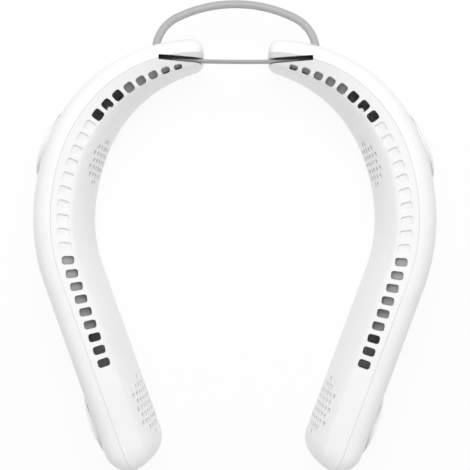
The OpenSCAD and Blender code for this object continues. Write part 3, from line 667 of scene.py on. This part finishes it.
def bar(width: float, length: float, corner: float, low: float, high: float, frame: Matrix) -> BMesh:
    """Upright bar with a rounded rectangular outline.

    Args:
        width: Size along the frame's X.
        length: Size along the frame's Y.
        corner: Corner radius.
        low: Lower end on the frame's Z.
        high: Upper end on the frame's Z.
        frame: Where it stands.
    """
    bm = bmesh.new()
    bmesh.ops.create_grid(bm, x_segments=1, y_segments=1, size=0.5)
    bmesh.ops.scale(bm, vec=(width, length, 1), verts=bm.verts[:])
    if corner > 0:
        bmesh.ops.bevel(bm, geom=bm.verts[:], offset=corner, segments=5, profile=0.5,
                        affect="VERTICES", material=-1)
    bmesh.ops.translate(bm, vec=(0, 0, low), verts=bm.verts[:])
    grown = bmesh.ops.extrude_face_region(bm, geom=bm.faces[:])["geom"]
    raised = [g for g in grown if isinstance(g, BMVert)]
    bmesh.ops.translate(bm, vec=(0, 0, high - low), verts=raised)
    bmesh.ops.recalc_face_normals(bm, faces=bm.faces[:])
    bmesh.ops.transform(bm, matrix=frame, verts=bm.verts[:])
    return bm


def rod(radius: float, low: float, high: float, frame: Matrix, segments: int = 96) -> BMesh:
    """Round bar along the frame's Z."""
    bm = bmesh.new()
    place = Matrix.Translation((0, 0, (low + high) / 2))
    bmesh.ops.create_cone(bm, cap_ends=True, segments=segments, radius1=radius, radius2=radius,
                          depth=high - low, matrix=frame @ place)
    return bm


def turned(profile: Sequence[tuple[float, float]], frame: Matrix, steps: int = 96) -> BMesh:
    """Spin a profile of (radius, height) points round the frame's Z."""
    bm = bmesh.new()
    verts = [bm.verts.new((r, 0, z)) for r, z in profile]
    edges = [bm.edges.new(pair) for pair in zip(verts, verts[1:])]
    bmesh.ops.spin(bm, geom=verts + edges, axis=(0, 0, 1), cent=(0, 0, 0), angle=tau,
                   steps=steps, use_merge=True)
    bmesh.ops.remove_doubles(bm, verts=bm.verts[:], dist=0.001)
    bmesh.ops.recalc_face_normals(bm, faces=bm.faces[:])
    bmesh.ops.transform(bm, matrix=frame, verts=bm.verts[:])
    return bm


def joined(parts: Iterable[BMesh]) -> BMesh:
    """Put several bmeshes into one."""
    whole = bmesh.new()
    for part in parts:
        mesh = bpy.data.meshes.new("part")
        part.to_mesh(mesh)
        part.free()
        whole.from_mesh(mesh)
        bpy.data.meshes.remove(mesh)
    return whole


def loose_object(bm: BMesh, name: str) -> bpy.types.Object:
    """Link a bmesh as an object and free it."""
    mesh = bpy.data.meshes.new(name)
    bm.to_mesh(mesh)
    bm.free()
    made = bpy.data.objects.new(name, mesh)
    bpy.context.scene.collection.objects.link(made)
    return made


def carve(body: BMesh, tools: Sequence[BMesh], operation: str = "DIFFERENCE") -> BMesh:
    """Boolean of a body with several tools.

    Args:
        body: The closed solid that is cut.
        tools: Closed solids, used up here.
        operation: Blender's name of the operation.

    Returns:
        The cut body.
    """
    stock = loose_object(body, "stock")
    tool = loose_object(joined(tools), "tool")
    step = stock.modifiers.new("carve", "BOOLEAN")
    step.operation, step.solver, step.object, step.use_self = operation, "EXACT", tool, True
    ready = stock.evaluated_get(bpy.context.evaluated_depsgraph_get())
    result = bmesh.new()
    result.from_mesh(ready.to_mesh())
    ready.to_mesh_clear()
    for used in (stock, tool):
        mesh = used.data
        bpy.data.objects.remove(used)
        bpy.data.meshes.remove(mesh)
    return result


def bezier(a: Vector, b: Vector, c: Vector, count: int) -> list[Vector]:
    """Points of a quadratic curve, without its last point."""
    ts = [i / count for i in range(count)]
    return [a * (1 - t) ** 2 + b * 2 * t * (1 - t) + c * t * t for t in ts]


@dataclass
class Workshop:
    """Turns finished bmeshes into pieces that ride on the frame."""

    layout: Layout
    materials: dict[str, bpy.types.Material]
    made: list[str] = field(default_factory=list)

    def release(self, bm: BMesh, name: str, finish: str, side: Side | None = None,
                sharp: float = 32.0) -> bpy.types.Object:
        """Scale a bmesh in the left arm's millimetres to its place in metres.

        Args:
            bm: The finished bmesh.
            name: Name of the piece.
            finish: Key of its material and of the record's slot.
            side: The arm that it belongs to; the right arm is mirrored. None for a piece in the middle.
            sharp: Angle in degrees above which an edge stays sharp.

        Returns:
            The piece, not yet riding on a body.
        """
        bmesh.ops.translate(bm, vec=(0, self.layout.shift_y, 0), verts=bm.verts[:])
        flip = -1 if side is Side.RIGHT else 1
        bmesh.ops.scale(bm, vec=(flip * MM, MM, MM), verts=bm.verts[:])
        if flip < 0:
            bmesh.ops.reverse_faces(bm, faces=bm.faces[:])
        for face in bm.faces:
            face.smooth = True
        for edge in bm.edges:
            edge.smooth = edge.calc_face_angle(0.0) < radians(sharp)
        piece = loose_object(bm, name)
        piece.data.materials.append(self.materials[finish])
        if side:
            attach(piece, side.body)
        self.made.append(name)
        LOG.info("%s: %d faces", name, len(piece.data.polygons))
        return piece

    def release_pair(self, name: str, finish: str, node: str, left: BMesh,
                     right: BMesh | None = None) -> None:
        """Release a piece of each arm, each in place of its arm's CAD node.

        Args:
            name: Name of the pieces, after their arm's.
            finish: Key of their material.
            node: Name of the nodes that they replace, after their arm's.
            left: The left arm's bmesh.
            right: The right arm's bmesh before it is mirrored, where it differs.
        """
        for side, bm in ((Side.RIGHT, right or left.copy()), (Side.LEFT, left)):
            piece = self.release(bm, f"{side.value}_{name}", finish, side)
            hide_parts(f"{side.value}_{node}")


# Pieces of an arm


@dataclass
class Maker:
    """What every maker of pieces works from."""

    form: ArmForm
    layout: Layout
    shop: Workshop

    def at_fan(self, fan: Fan) -> Matrix:
        """Frame of a blower: Z out of the outer wall, Y along the arm."""
        return self.form.across(self.layout.fan_at(self.form, fan))


@dataclass
class ArmShells(Maker):
    """The two shells of an arm, with their vents, openings and slots."""

    wall_steps: int = 30
    more_steps: int = 12
    back_steps: int = 8
    tip_steps: int = 12
    crease_steps: int = 6
    band_steps: int = 5
    arc_step: float = 2.2
    straight_step: float = 4.0
    crease_r: float = 1.5
    crease_reach: float = 1.3
    crease_turn: float = 0.09
    crease_share: float = 0.4
    no_band: float = 0.01
    lip: float = 0.16
    lip_share: float = 0.2
    seam_gap: float = 0.09
    blind_depth: float = 0.9
    pillar_r: float = 1.3
    pillar_vent: int = 6
    pillar_in: float = 1.9
    pillar_on: float = 0.9
    pillar_drop: float = 3.4
    vent_over: float = 3.0
    vent_walls: float = 4.0
    corner_share: float = 0.45
    entry_from: float = -4.6
    entry_to: float = 6.0
    button_from: float = 6.0
    grille_gap: float = 0.03

    def stations(self, t: float) -> list[float]:
        """Distances of the sections of a skin at depth t."""
        form, quarter = self.form, pi / 2
        back = [form.back_r - (form.back_r - t) * cos(w) for w in spread(0, quarter, self.back_steps)[:-1]]
        arc_count = round((form.arc_len - form.back_r) / self.arc_step)
        straight_count = round((form.straight_len - form.tip_r) / self.straight_step)
        arc = spread(form.back_r, form.arc_len, arc_count)
        straight = spread(form.arc_len, form.arm_len - form.tip_r, straight_count)[1:]
        tip_from = form.arm_len - form.tip_r
        tip = [tip_from + (form.tip_r - t) * sin(w) for w in spread(0, quarter, self.tip_steps)[1:]]
        return back + arc + straight + tip

    def inner_profile(self, s: float, t: float) -> list[Vector]:
        """Section of the inner shell's skin: from the lower seam over wall and band to the top seam."""
        form = self.form
        a, _ = form.half_axes(s, t)
        at = lambda phi: Vector(form.on_section(s, phi, t))
        foot = at(-form.rim_angle(min(self.seam_gap / 2, a), a))
        rim = at(form.rim_angle(min(form.seam_side(s) + self.seam_gap / 2, a), a))
        crease = form.crease(s)
        turn_in = min(self.crease_turn, self.crease_r / max(form.half_h(s), 1) * self.crease_reach)
        wall = [at(phi) for phi in spread(-form.land_angle, crease - turn_in, self.wall_steps)]
        edge = at(crease)
        band = rim - edge
        lead = edge + band * min(self.crease_share, self.crease_r / max(band.length, self.no_band))
        lip = min(self.lip, band.length * self.lip_share)
        end = rim - band.normalized() * lip if band.length > self.no_band else rim
        up, out = Vector((0, lip)), Vector((lip, 0))
        points = [foot + up, foot + out] + wall[:-1] + bezier(wall[-1], edge, lead, self.crease_steps)
        return points + [lead + (end - lead) * f for f in spread(0, 1, self.band_steps)] + [rim - up]

    def outer_profile(self, s: float, t: float) -> list[Vector]:
        """Section of the outer shell's skin: from the top seam over the wall to the lower seam."""
        form = self.form
        a, _ = form.half_axes(s, t)
        at = lambda phi: Vector(form.on_section(s, phi, t))
        top = form.rim_angle(max(-a, min(form.seam_side(s) - self.seam_gap / 2, a)), a)
        foot = at(tau - form.rim_angle(max(-a, -self.seam_gap / 2), a))
        lip = min(self.lip, a * self.lip_share)
        wall = [at(phi) for phi in spread(top, pi + form.land_angle, self.wall_steps + self.more_steps)]
        up, out = Vector((0, lip)), Vector((lip, 0))
        return [wall[0] - up, wall[0] - out] + wall[1:] + [foot - out, foot + up]

    def shell(self, profile: Callable[[float, float], list[Vector]]) -> BMesh:
        """Closed solid between the outer skin and the skin one wall deeper."""
        form = self.form
        rings = []
        for s_out, s_in in zip(self.stations(0.0), self.stations(form.wall)):
            skin = [form.settle(s_out, *point) for point in profile(s_out, 0.0)]
            lining = [form.settle(s_in, *point) for point in profile(s_in, form.wall)]
            rings.append(skin + lining[::-1])
        bm, first, last = loft(rings, cap=False)
        half = len(first) // 2
        for ring in (first, last):
            skin, lining = ring[:half], ring[half:]
            bm.faces.new(skin)
            bm.faces.new(lining)
            bm.faces.new((skin[0], skin[-1], lining[0], lining[-1]))
        bmesh.ops.recalc_face_normals(bm, faces=bm.faces[:])
        return bm

    def vent_tool(self, i: int) -> BMesh:
        """Cutter of one vent, a rounded bar: upright if open, square to the band if blind."""
        form = self.form
        s = form.vent_at(i)
        across, along = form.vent_size(i)
        side = form.vent_side(s)
        corner = min(form.vent_corner, across * self.corner_share)
        surface = form.band_height(s, side)
        if form.is_blind(i):
            slope = atan(form.band_slope(s))
            tilt = Matrix.Rotation(-slope, 4, "Y")
            frame = form.upright(s, surface, side) @ tilt @ form.vent_turn(i)
            across /= cos(slope)
            return bar(across, along, corner, -self.blind_depth, self.vent_over, frame)
        frame = form.upright(s, 0, side) @ form.vent_turn(i)
        low = surface - form.wall * self.vent_walls
        return bar(across, along, corner, low, form.half_h(s) + self.vent_over, frame)

    def slot_tool(self) -> BMesh:
        """Cutter of the neck strip's slot."""
        layout, gap = self.layout, self.layout.slot_gap
        half = layout.strip_half + 2 * gap
        return Strip.band(layout, -half, half, gap, layout.strip_z - gap, self.form.arm_h, 0.0)

    def entry_frame(self) -> Matrix:
        """Z along the cable sleeve where it leaves the arm."""
        layout = self.layout
        place = Matrix.Translation((-layout.sleeve_half, layout.sleeve_y, self.form.arm_h / 2))
        turn = Matrix.Rotation(radians(-layout.sleeve_entry), 4, "Z")
        return place @ turn @ Matrix.Rotation(-pi / 2, 4, "X")

    def build_outer(self) -> None:
        """Outer shells with the round blower openings, the slot and the cable entry."""
        layout, form = self.layout, self.form
        r = layout.cover_r + layout.cover_gap
        tools = [rod(r, layout.frame_half, layout.reach, self.at_fan(fan)) for fan in Fan]
        entry_r = layout.sleeve_r + layout.entry_gap
        tools.append(rod(entry_r, self.entry_from, self.entry_to, self.entry_frame(), segments=48))
        body = carve(carve(self.shell(self.outer_profile), tools), [self.slot_tool()])
        place = form.across(form.arc_len - layout.board_in, layout.button_v)
        bore_r = layout.button_r + layout.button_gap
        bore = rod(bore_r, self.button_from, layout.reach, place, segments=64)
        with_button = carve(body.copy(), [bore])
        self.shop.release_pair("outer_casing", "white_shell", "outer_shell", body, with_button)

    def pillar(self) -> BMesh:
        """Screw pillar inside the shell, seen through one of the upper vents."""
        form = self.form
        s = form.vent_at(self.pillar_vent) + self.pillar_on
        side = form.vent_side(s) + self.pillar_in
        top = form.band_height(s, side) - self.pillar_drop
        foot = form.wall - form.half_h(s)
        return rod(self.pillar_r, foot, top, form.upright(s, 0, side), segments=32)

    def build_inner(self) -> BMesh:
        """Inner shells with the row of vents, the grille openings and the slot.

        Returns:
            The shell before any opening is cut, from which the grilles are taken.
        """
        layout, form = self.layout, self.form
        plain = self.shell(self.inner_profile)
        vents = [self.vent_tool(i) for i in range(form.vent_count)]
        tools = [rod(layout.grille_r(fan) + self.grille_gap, -layout.reach, -layout.frame_half,
                     self.at_fan(fan)) for fan in Fan]
        body = joined([carve(carve(plain.copy(), vents), tools + [self.slot_tool()]), self.pillar()])
        port_at = form.arc_len - layout.port_in
        up = layout.port_side + form.lean(port_at) * (form.arm_h / 2 - layout.port_low)
        place = form.upright(port_at, -form.arm_h / 2, up)
        port = bar(layout.port_t + layout.port_gap, layout.port_w + layout.port_gap,
                   layout.port_t / 2, -form.wall, 2 * form.wall, place)
        with_port = carve(body.copy(), [port])
        self.shop.release_pair("inner_casing", "white_shell", "inner_shell", body, with_port)
        return plain


@dataclass
class IntakeCover(Maker):
    """Round cover of a blower: a shallow dome with radial slots on a skirt."""

    fan: Fan
    plate_t: float = 1.4
    skirt_t: float = 1.2
    lip: float = 1.1
    groove_w: float = 2.16
    edge_r: float = 0.5
    edge_down: float = 0.05
    dome_steps: int = 14
    under_steps: int = 10
    slots: int = 24
    slot_w: float = 1.5
    slot_in: float = 0.42
    slot_out: float = 0.86
    corner_share: float = 0.45
    cut_below: float = 3.0
    cut_above: float = 8.0

    def build(self) -> None:
        """Make the cover for both arms."""
        layout = self.layout
        s = layout.fan_at(self.form, self.fan)
        frame = self.at_fan(self.fan)
        name = f"{self.fan.value}_intake"
        wall_top = self.form.half_w(s) * cos(radians(self.form.wall_lean))
        shoulder = wall_top - layout.cover_proud / 2
        body = turned(self.profile(shoulder), frame)
        length = layout.cover_r * (self.slot_out - self.slot_in)
        out = Matrix.Translation((layout.cover_r * (self.slot_out + self.slot_in) / 2, 0, 0))
        low, high = shoulder - self.cut_below, shoulder + self.cut_above
        tools = []
        for i in range(self.slots):
            spoke = frame @ Matrix.Rotation(tau * (i + 0.5) / self.slots, 4, "Z") @ out
            tools.append(bar(length, self.slot_w, self.slot_w * self.corner_share, low, high, spoke))
        self.shop.release_pair(name, "intake_cover", f"{name}_cover", carve(body, tools))

    def profile(self, shoulder: float) -> list[tuple[float, float]]:
        """Radius and height of the dome, the rounded edge, the groove, the skirt and the underside."""
        layout = self.layout
        rim, inner = layout.cover_r, layout.cover_r - self.skirt_t
        rise = lambda r: shoulder + layout.cover_proud * (1.5 - (r / rim) ** 2)
        centre = rise(rim) - self.edge_r - self.edge_down
        lip = rise(rim) - self.lip
        shade, foot = rim - self.skirt_t / 2, lip - self.groove_w
        top = [(r, rise(r)) for r in spread(0, rim, self.dome_steps)[:-1]]
        edge = [(rim - self.edge_r + self.edge_r * sin(w), centre + self.edge_r * cos(w))
                for w in spread(0.15, pi / 2, 6)]
        skirt = [(rim, lip), (shade, lip), (shade, foot), (rim, foot)]
        skirt += [(rim, layout.frame_half), (inner, layout.frame_half)]
        below = [(inner * f, rise(rim * f) - self.plate_t) for f in spread(1, 0, self.under_steps)]
        return top + edge + skirt + below


@dataclass
class InnerGrille(Maker):
    """Perforated round piece of the inner wall."""

    fan: Fan

    def build(self, shell: BMesh) -> None:
        """Make the grille for both arms.

        Args:
            shell: The inner shell without its openings; the grille is a round piece of it.
        """
        layout = self.layout
        r = layout.grille_r(self.fan)
        frame = self.at_fan(self.fan)
        body = carve(shell.copy(), [rod(r, -layout.reach, 0, frame)], "INTERSECT")
        places = [frame @ Matrix.Translation((x, y, 0)) for x, y in self.holes(r)]
        hole_r = layout.grille_hole / 2
        body = carve(body, [rod(hole_r, -layout.reach, 0, place, segments=20) for place in places])
        fan = self.fan.value
        self.shop.release_pair(f"{fan}_grille", "inner_grille", f"{fan}_inner_grille", body)

    def holes(self, r: float) -> list[tuple[float, float]]:
        """Places of the holes: rows across the arm, each half a pitch off the next."""
        layout = self.layout
        pitch, rows = layout.grille_pitch, int(r / layout.grille_pitch) + 1
        gap = pitch * sin(radians(60))
        net = [((j + i / 2) * pitch, i * gap)
               for i in range(-rows, rows + 1) for j in range(-2 * rows, 2 * rows + 1)]
        return [place for place in net if hypot(*place) < r - layout.grille_rim]


@dataclass
class Strip(Maker):
    """Flexible neck strip between the arms."""

    edge_r: float = 0.5

    @staticmethod
    def band(layout: Layout, start: float, end: float, grow: float, low: float, high: float,
             edge: float) -> BMesh:
        """Swept flat bar on the strip's shallow arc.

        Args:
            layout: Sizes of the strip.
            start: Where it starts, along its chord.
            end: Where it ends.
            grow: How much wider it is than the strip, on each side.
            low: Lower edge.
            high: Upper edge.
            edge: Radius round its long edges.
        """
        bow_r = (layout.strip_half ** 2 + layout.strip_bow ** 2) / (2 * layout.strip_bow)
        half = layout.strip_t / 2 + grow
        centre = Vector((0, layout.strip_y + bow_r, 0))
        outline = []
        for side, up, turn in ((-1, -1, 180), (1, -1, 270), (1, 1, 0), (-1, 1, 90)):
            cx, cz = side * (half - edge), (high - edge if up > 0 else low + edge)
            turns = spread(turn, turn + 90, 4) if edge > 0 else [turn]
            outline += [(cx + edge * cos(w), cz + edge * sin(w)) for w in map(radians, turns)]
        rings = []
        for w in spread(asin(start / bow_r), asin(end / bow_r), ARC_STEPS):
            out = Vector((sin(w), -cos(w), 0))
            rings.append([centre + out * (bow_r + d) + Vector((0, 0, z)) for d, z in outline])
        return loft(rings)[0]

    def build(self) -> None:
        """Make the strip."""
        layout = self.layout
        half, low = layout.strip_half, layout.strip_z
        bm = self.band(layout, -half, half, 0, low, low + layout.strip_h, self.edge_r)
        piece = self.shop.release(bm, "flexible_strip", "soft_grey")
        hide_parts("neck_strip")
        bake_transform(piece)


@dataclass
class Sleeve(Maker):
    """Arched cable sleeve behind the strip."""

    stub_len: float = 7.3
    shoulder_steps: int = 18
    sides: int = 28

    def path(self) -> list[tuple[float, float, float]]:
        """Middle line as points with the outward direction in radians: two shoulders and a top arc."""
        layout = self.layout
        r, entry = layout.sleeve_shoulder, radians(layout.sleeve_entry)
        x = layout.sleeve_half - r * cos(entry)
        y = layout.sleeve_y - r * sin(entry)
        gap = layout.sleeve_top - r
        top_y = (gap ** 2 - x ** 2 - y ** 2) / (2 * (gap - y))
        join = atan2(y - top_y, x)
        stub = self.stub_len / r - entry

        def arc(cx: float, cy: float, radius: float, turns: list[float]) -> list[tuple]:
            """Points of one arc."""
            return [(cx + radius * cos(w), cy + radius * sin(w), w) for w in turns]

        right = arc(x, y, r, spread(-stub, join, self.shoulder_steps))
        top = arc(0, top_y, layout.sleeve_top - top_y, spread(join, pi - join, ARC_STEPS)[1:-1])
        return right + top + arc(-x, y, r, spread(pi - join, pi + stub, self.shoulder_steps))

    def build(self) -> None:
        """Make the sleeve. It shares the record's slot for soft pieces, but its skin is glossier, and its
        grey is painted lighter than the strip's to stand in for the light that falls on it.
        """
        r, middle = self.layout.sleeve_r, self.form.arm_h / 2
        rings = []
        for x, y, w in self.path():
            centre, out = Vector((x, y, middle)), Vector((cos(w), sin(w), 0))
            rings.append([centre + out * r * cos(a) + Vector((0, 0, r * sin(a)))
                          for a in [tau * k / self.sides for k in range(self.sides)]])
        piece = self.shop.release(loft(rings)[0], "cable_sleeve_cord", "soft_grey")
        # Lighter copy of the soft grey rubber: painted light on the sleeve.
        piece.data.materials[0] = self.shop.materials["sleeve_grey_painted_light"]
        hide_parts("cable_sleeve")
        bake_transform(piece)


@dataclass
class PowerButton(Maker):
    """Round push button with a shallow dish."""

    dish_share: float = 0.82
    dish_in: float = 0.25
    dish_depth: float = 0.2
    edge_r: float = 0.35
    length: float = 2.6

    def build(self) -> None:
        """Make the button."""
        layout, form = self.layout, self.form
        board_at = form.arc_len - layout.board_in
        top = form.half_w(board_at) * cos(radians(form.wall_lean)) + layout.button_over
        r, edge_r = layout.button_r, self.edge_r
        dish = [(r * self.dish_share * f, top - self.dish_in + self.dish_depth * f ** 2)
                for f in spread(0, 1, 6)]
        edge = [(r - edge_r + edge_r * sin(w), top - edge_r + edge_r * cos(w))
                for w in spread(0, pi / 2, 5)]
        foot = [(r, top - self.length), (0, top - self.length)]
        body = turned(dish + edge + foot, form.across(board_at, layout.button_v), steps=64)
        piece = self.shop.release(body, "round_push_button", "button", Side.RIGHT)
        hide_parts("power_button")
        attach(piece, "button")


# Whole object


@dataclass
class Innards:
    """CAD nodes that keep their own shape and get a finish."""

    frame: dict
    materials: dict[str, bpy.types.Material]

    def dress(self) -> None:
        """Give every CAD node the material of its slot."""
        for part in self.frame["record"]["subparts"]:
            mesh = self.frame["nodes"][part["node"]].data
            mesh.materials.clear()
            mesh.materials.append(self.materials[part["material_slot"]])


@dataclass
class Studio:
    """Pale floor, soft light and the photograph's camera."""

    eye: Vector = field(default_factory=lambda: Vector((0.0001, -0.00072, 0.65)))
    roll: float = 0.35
    lens: float = 96.5
    world_level: float = 0.68
    floor_white: float = 0.9
    seen_rays: tuple[str, ...] = ("Is Camera Ray", "Is Glossy Ray", "Is Transmission Ray")

    def build(self) -> None:
        """Set up floor, world, lamps and camera."""
        self.floor()
        self.world()
        self.lamp("back_panel", (0.0, 0.27, 0.6), 0.35, 2.0)
        self.camera()
        bpy.context.scene.view_settings.view_transform = "Standard"

    def floor(self) -> None:
        """Large pale floor that shows white to the camera and keeps a soft shadow."""
        shader = Shader("pale_floor")
        shader.set(Base_Color=(0.88, 0.88, 0.88), Roughness=0.9)
        glow = shader.node("ShaderNodeEmission", {}, {"Color": (1.0, 1.0, 1.0, 1.0), "Strength": 1.0})
        surface = Wire(shader, shader.surface.outputs[0])
        inputs = {0: self.seen(shader) * self.floor_white, 1: surface, 2: glow}
        shader.finish(shader.node("ShaderNodeMixShader", {}, inputs))
        bm = bmesh.new()
        bmesh.ops.create_grid(bm, x_segments=1, y_segments=1, size=4.0)
        floor = loose_object(bm, "studio_floor")
        floor.data.materials.append(shader.material)

    def seen(self, kit: Nodes) -> Wire:
        """1 for a ray that shows straight to the camera or in a reflection, else 0."""
        return sum(kit.node("ShaderNodeLightPath", {}, {}, ray) for ray in self.seen_rays)

    def world(self) -> None:
        """Even soft light, seen as white by the camera and in reflections."""
        world = bpy.context.scene.world = bpy.data.worlds.new("studio")
        kit = Nodes(world, "ShaderNodeOutputWorld")
        white = (1.0, 1.0, 1.0, 1.0)
        light, seen = (kit.node("ShaderNodeBackground", {}, {"Color": white, "Strength": level})
                       for level in (self.world_level, 1.0))
        kit.finish(kit.node("ShaderNodeMixShader", {}, {0: self.seen(kit), 1: light, 2: seen}))

    def lamp(self, name: str, place: tuple[float, float, float], size: float, power: float) -> None:
        """Square panel lamp that looks at the object."""
        data = bpy.data.lights.new(name, "AREA")
        data.shape, data.size, data.energy = "SQUARE", size, power
        lamp = bpy.data.objects.new(name, data)
        lamp.location = place
        lamp.rotation_euler = (-Vector(place)).to_track_quat("-Z", "Y").to_euler()
        lamp.visible_camera = False
        bpy.context.scene.collection.objects.link(lamp)

    def camera(self) -> None:
        """Camera straight over the object, as the photograph was taken."""
        data = bpy.data.cameras.new("photo_camera")
        data.sensor_width, data.lens = 36.0, self.lens
        data.clip_start, data.clip_end = 0.01, 20.0
        camera = bpy.data.objects.new("photo_camera", data)
        camera.location = self.eye
        camera.rotation_euler = (0.0, 0.0, radians(self.roll))
        bpy.context.scene.collection.objects.link(camera)
        bpy.context.scene.camera = camera


FINISHES = (
    MouldedPlastic("white_shell", (0.88, 0.88, 0.885), 0.38, under_glow=0.15),
    MouldedPlastic("intake_cover", (0.89, 0.89, 0.895), 0.34, under_glow=0.15),
    MouldedPlastic("inner_grille", (0.88, 0.88, 0.885), 0.38, under_glow=0.15),
    MouldedPlastic("dark_plastic", (0.02, 0.02, 0.022), 0.5),
    MouldedPlastic("grey_plastic", (0.14, 0.14, 0.145), 0.45),
    MouldedPlastic("duct_grey", (0.41, 0.41, 0.415), 0.5),
    SoftRubber("soft_grey", (0.35, 0.35, 0.355)),
    # The sleeve's rubber is the strip's soft grey; this copy is painted lighter, as painted light on the
    # sleeve.
    SoftRubber("sleeve_grey_painted_light", (0.39, 0.39, 0.395), 0.4),
    WoundCopper("motor_metal", (0.45, 0.2, 0.08)),
    TurnedMetal("bearing_brass", (0.7, 0.5, 0.2)),
    TurnedMetal("steel", (0.6, 0.6, 0.62)),
    CircuitBoard("board", (0.02, 0.12, 0.05)),
    MouldedPlastic("cell_wrap", (0.6, 0.6, 0.61), 0.3),
    MouldedPlastic("button", (0.8, 0.8, 0.81), 0.4),
)


def main() -> None:
    """Build the whole object round the frame."""
    logging.basicConfig(level=logging.INFO, format="%(name)s: %(message)s")
    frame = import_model()
    Studio().build()
    form, layout = ArmForm(), Layout()
    materials = {finish.name: finish.build() for finish in FINISHES}
    shop = Workshop(layout, materials)
    Innards(frame, materials).dress()
    kit = (form, layout, shop)
    shells = ArmShells(*kit)
    shells.build_outer()
    inner = shells.build_inner()
    for fan in Fan:
        IntakeCover(*kit, fan).build()
        InnerGrille(*kit, fan).build(inner)
    for maker in (Strip, Sleeve, PowerButton):
        maker(*kit).build()
    LOG.info("%d pieces made", len(shop.made))
    bpy.context.view_layer.update()


if __name__ == "__main__":
    main()
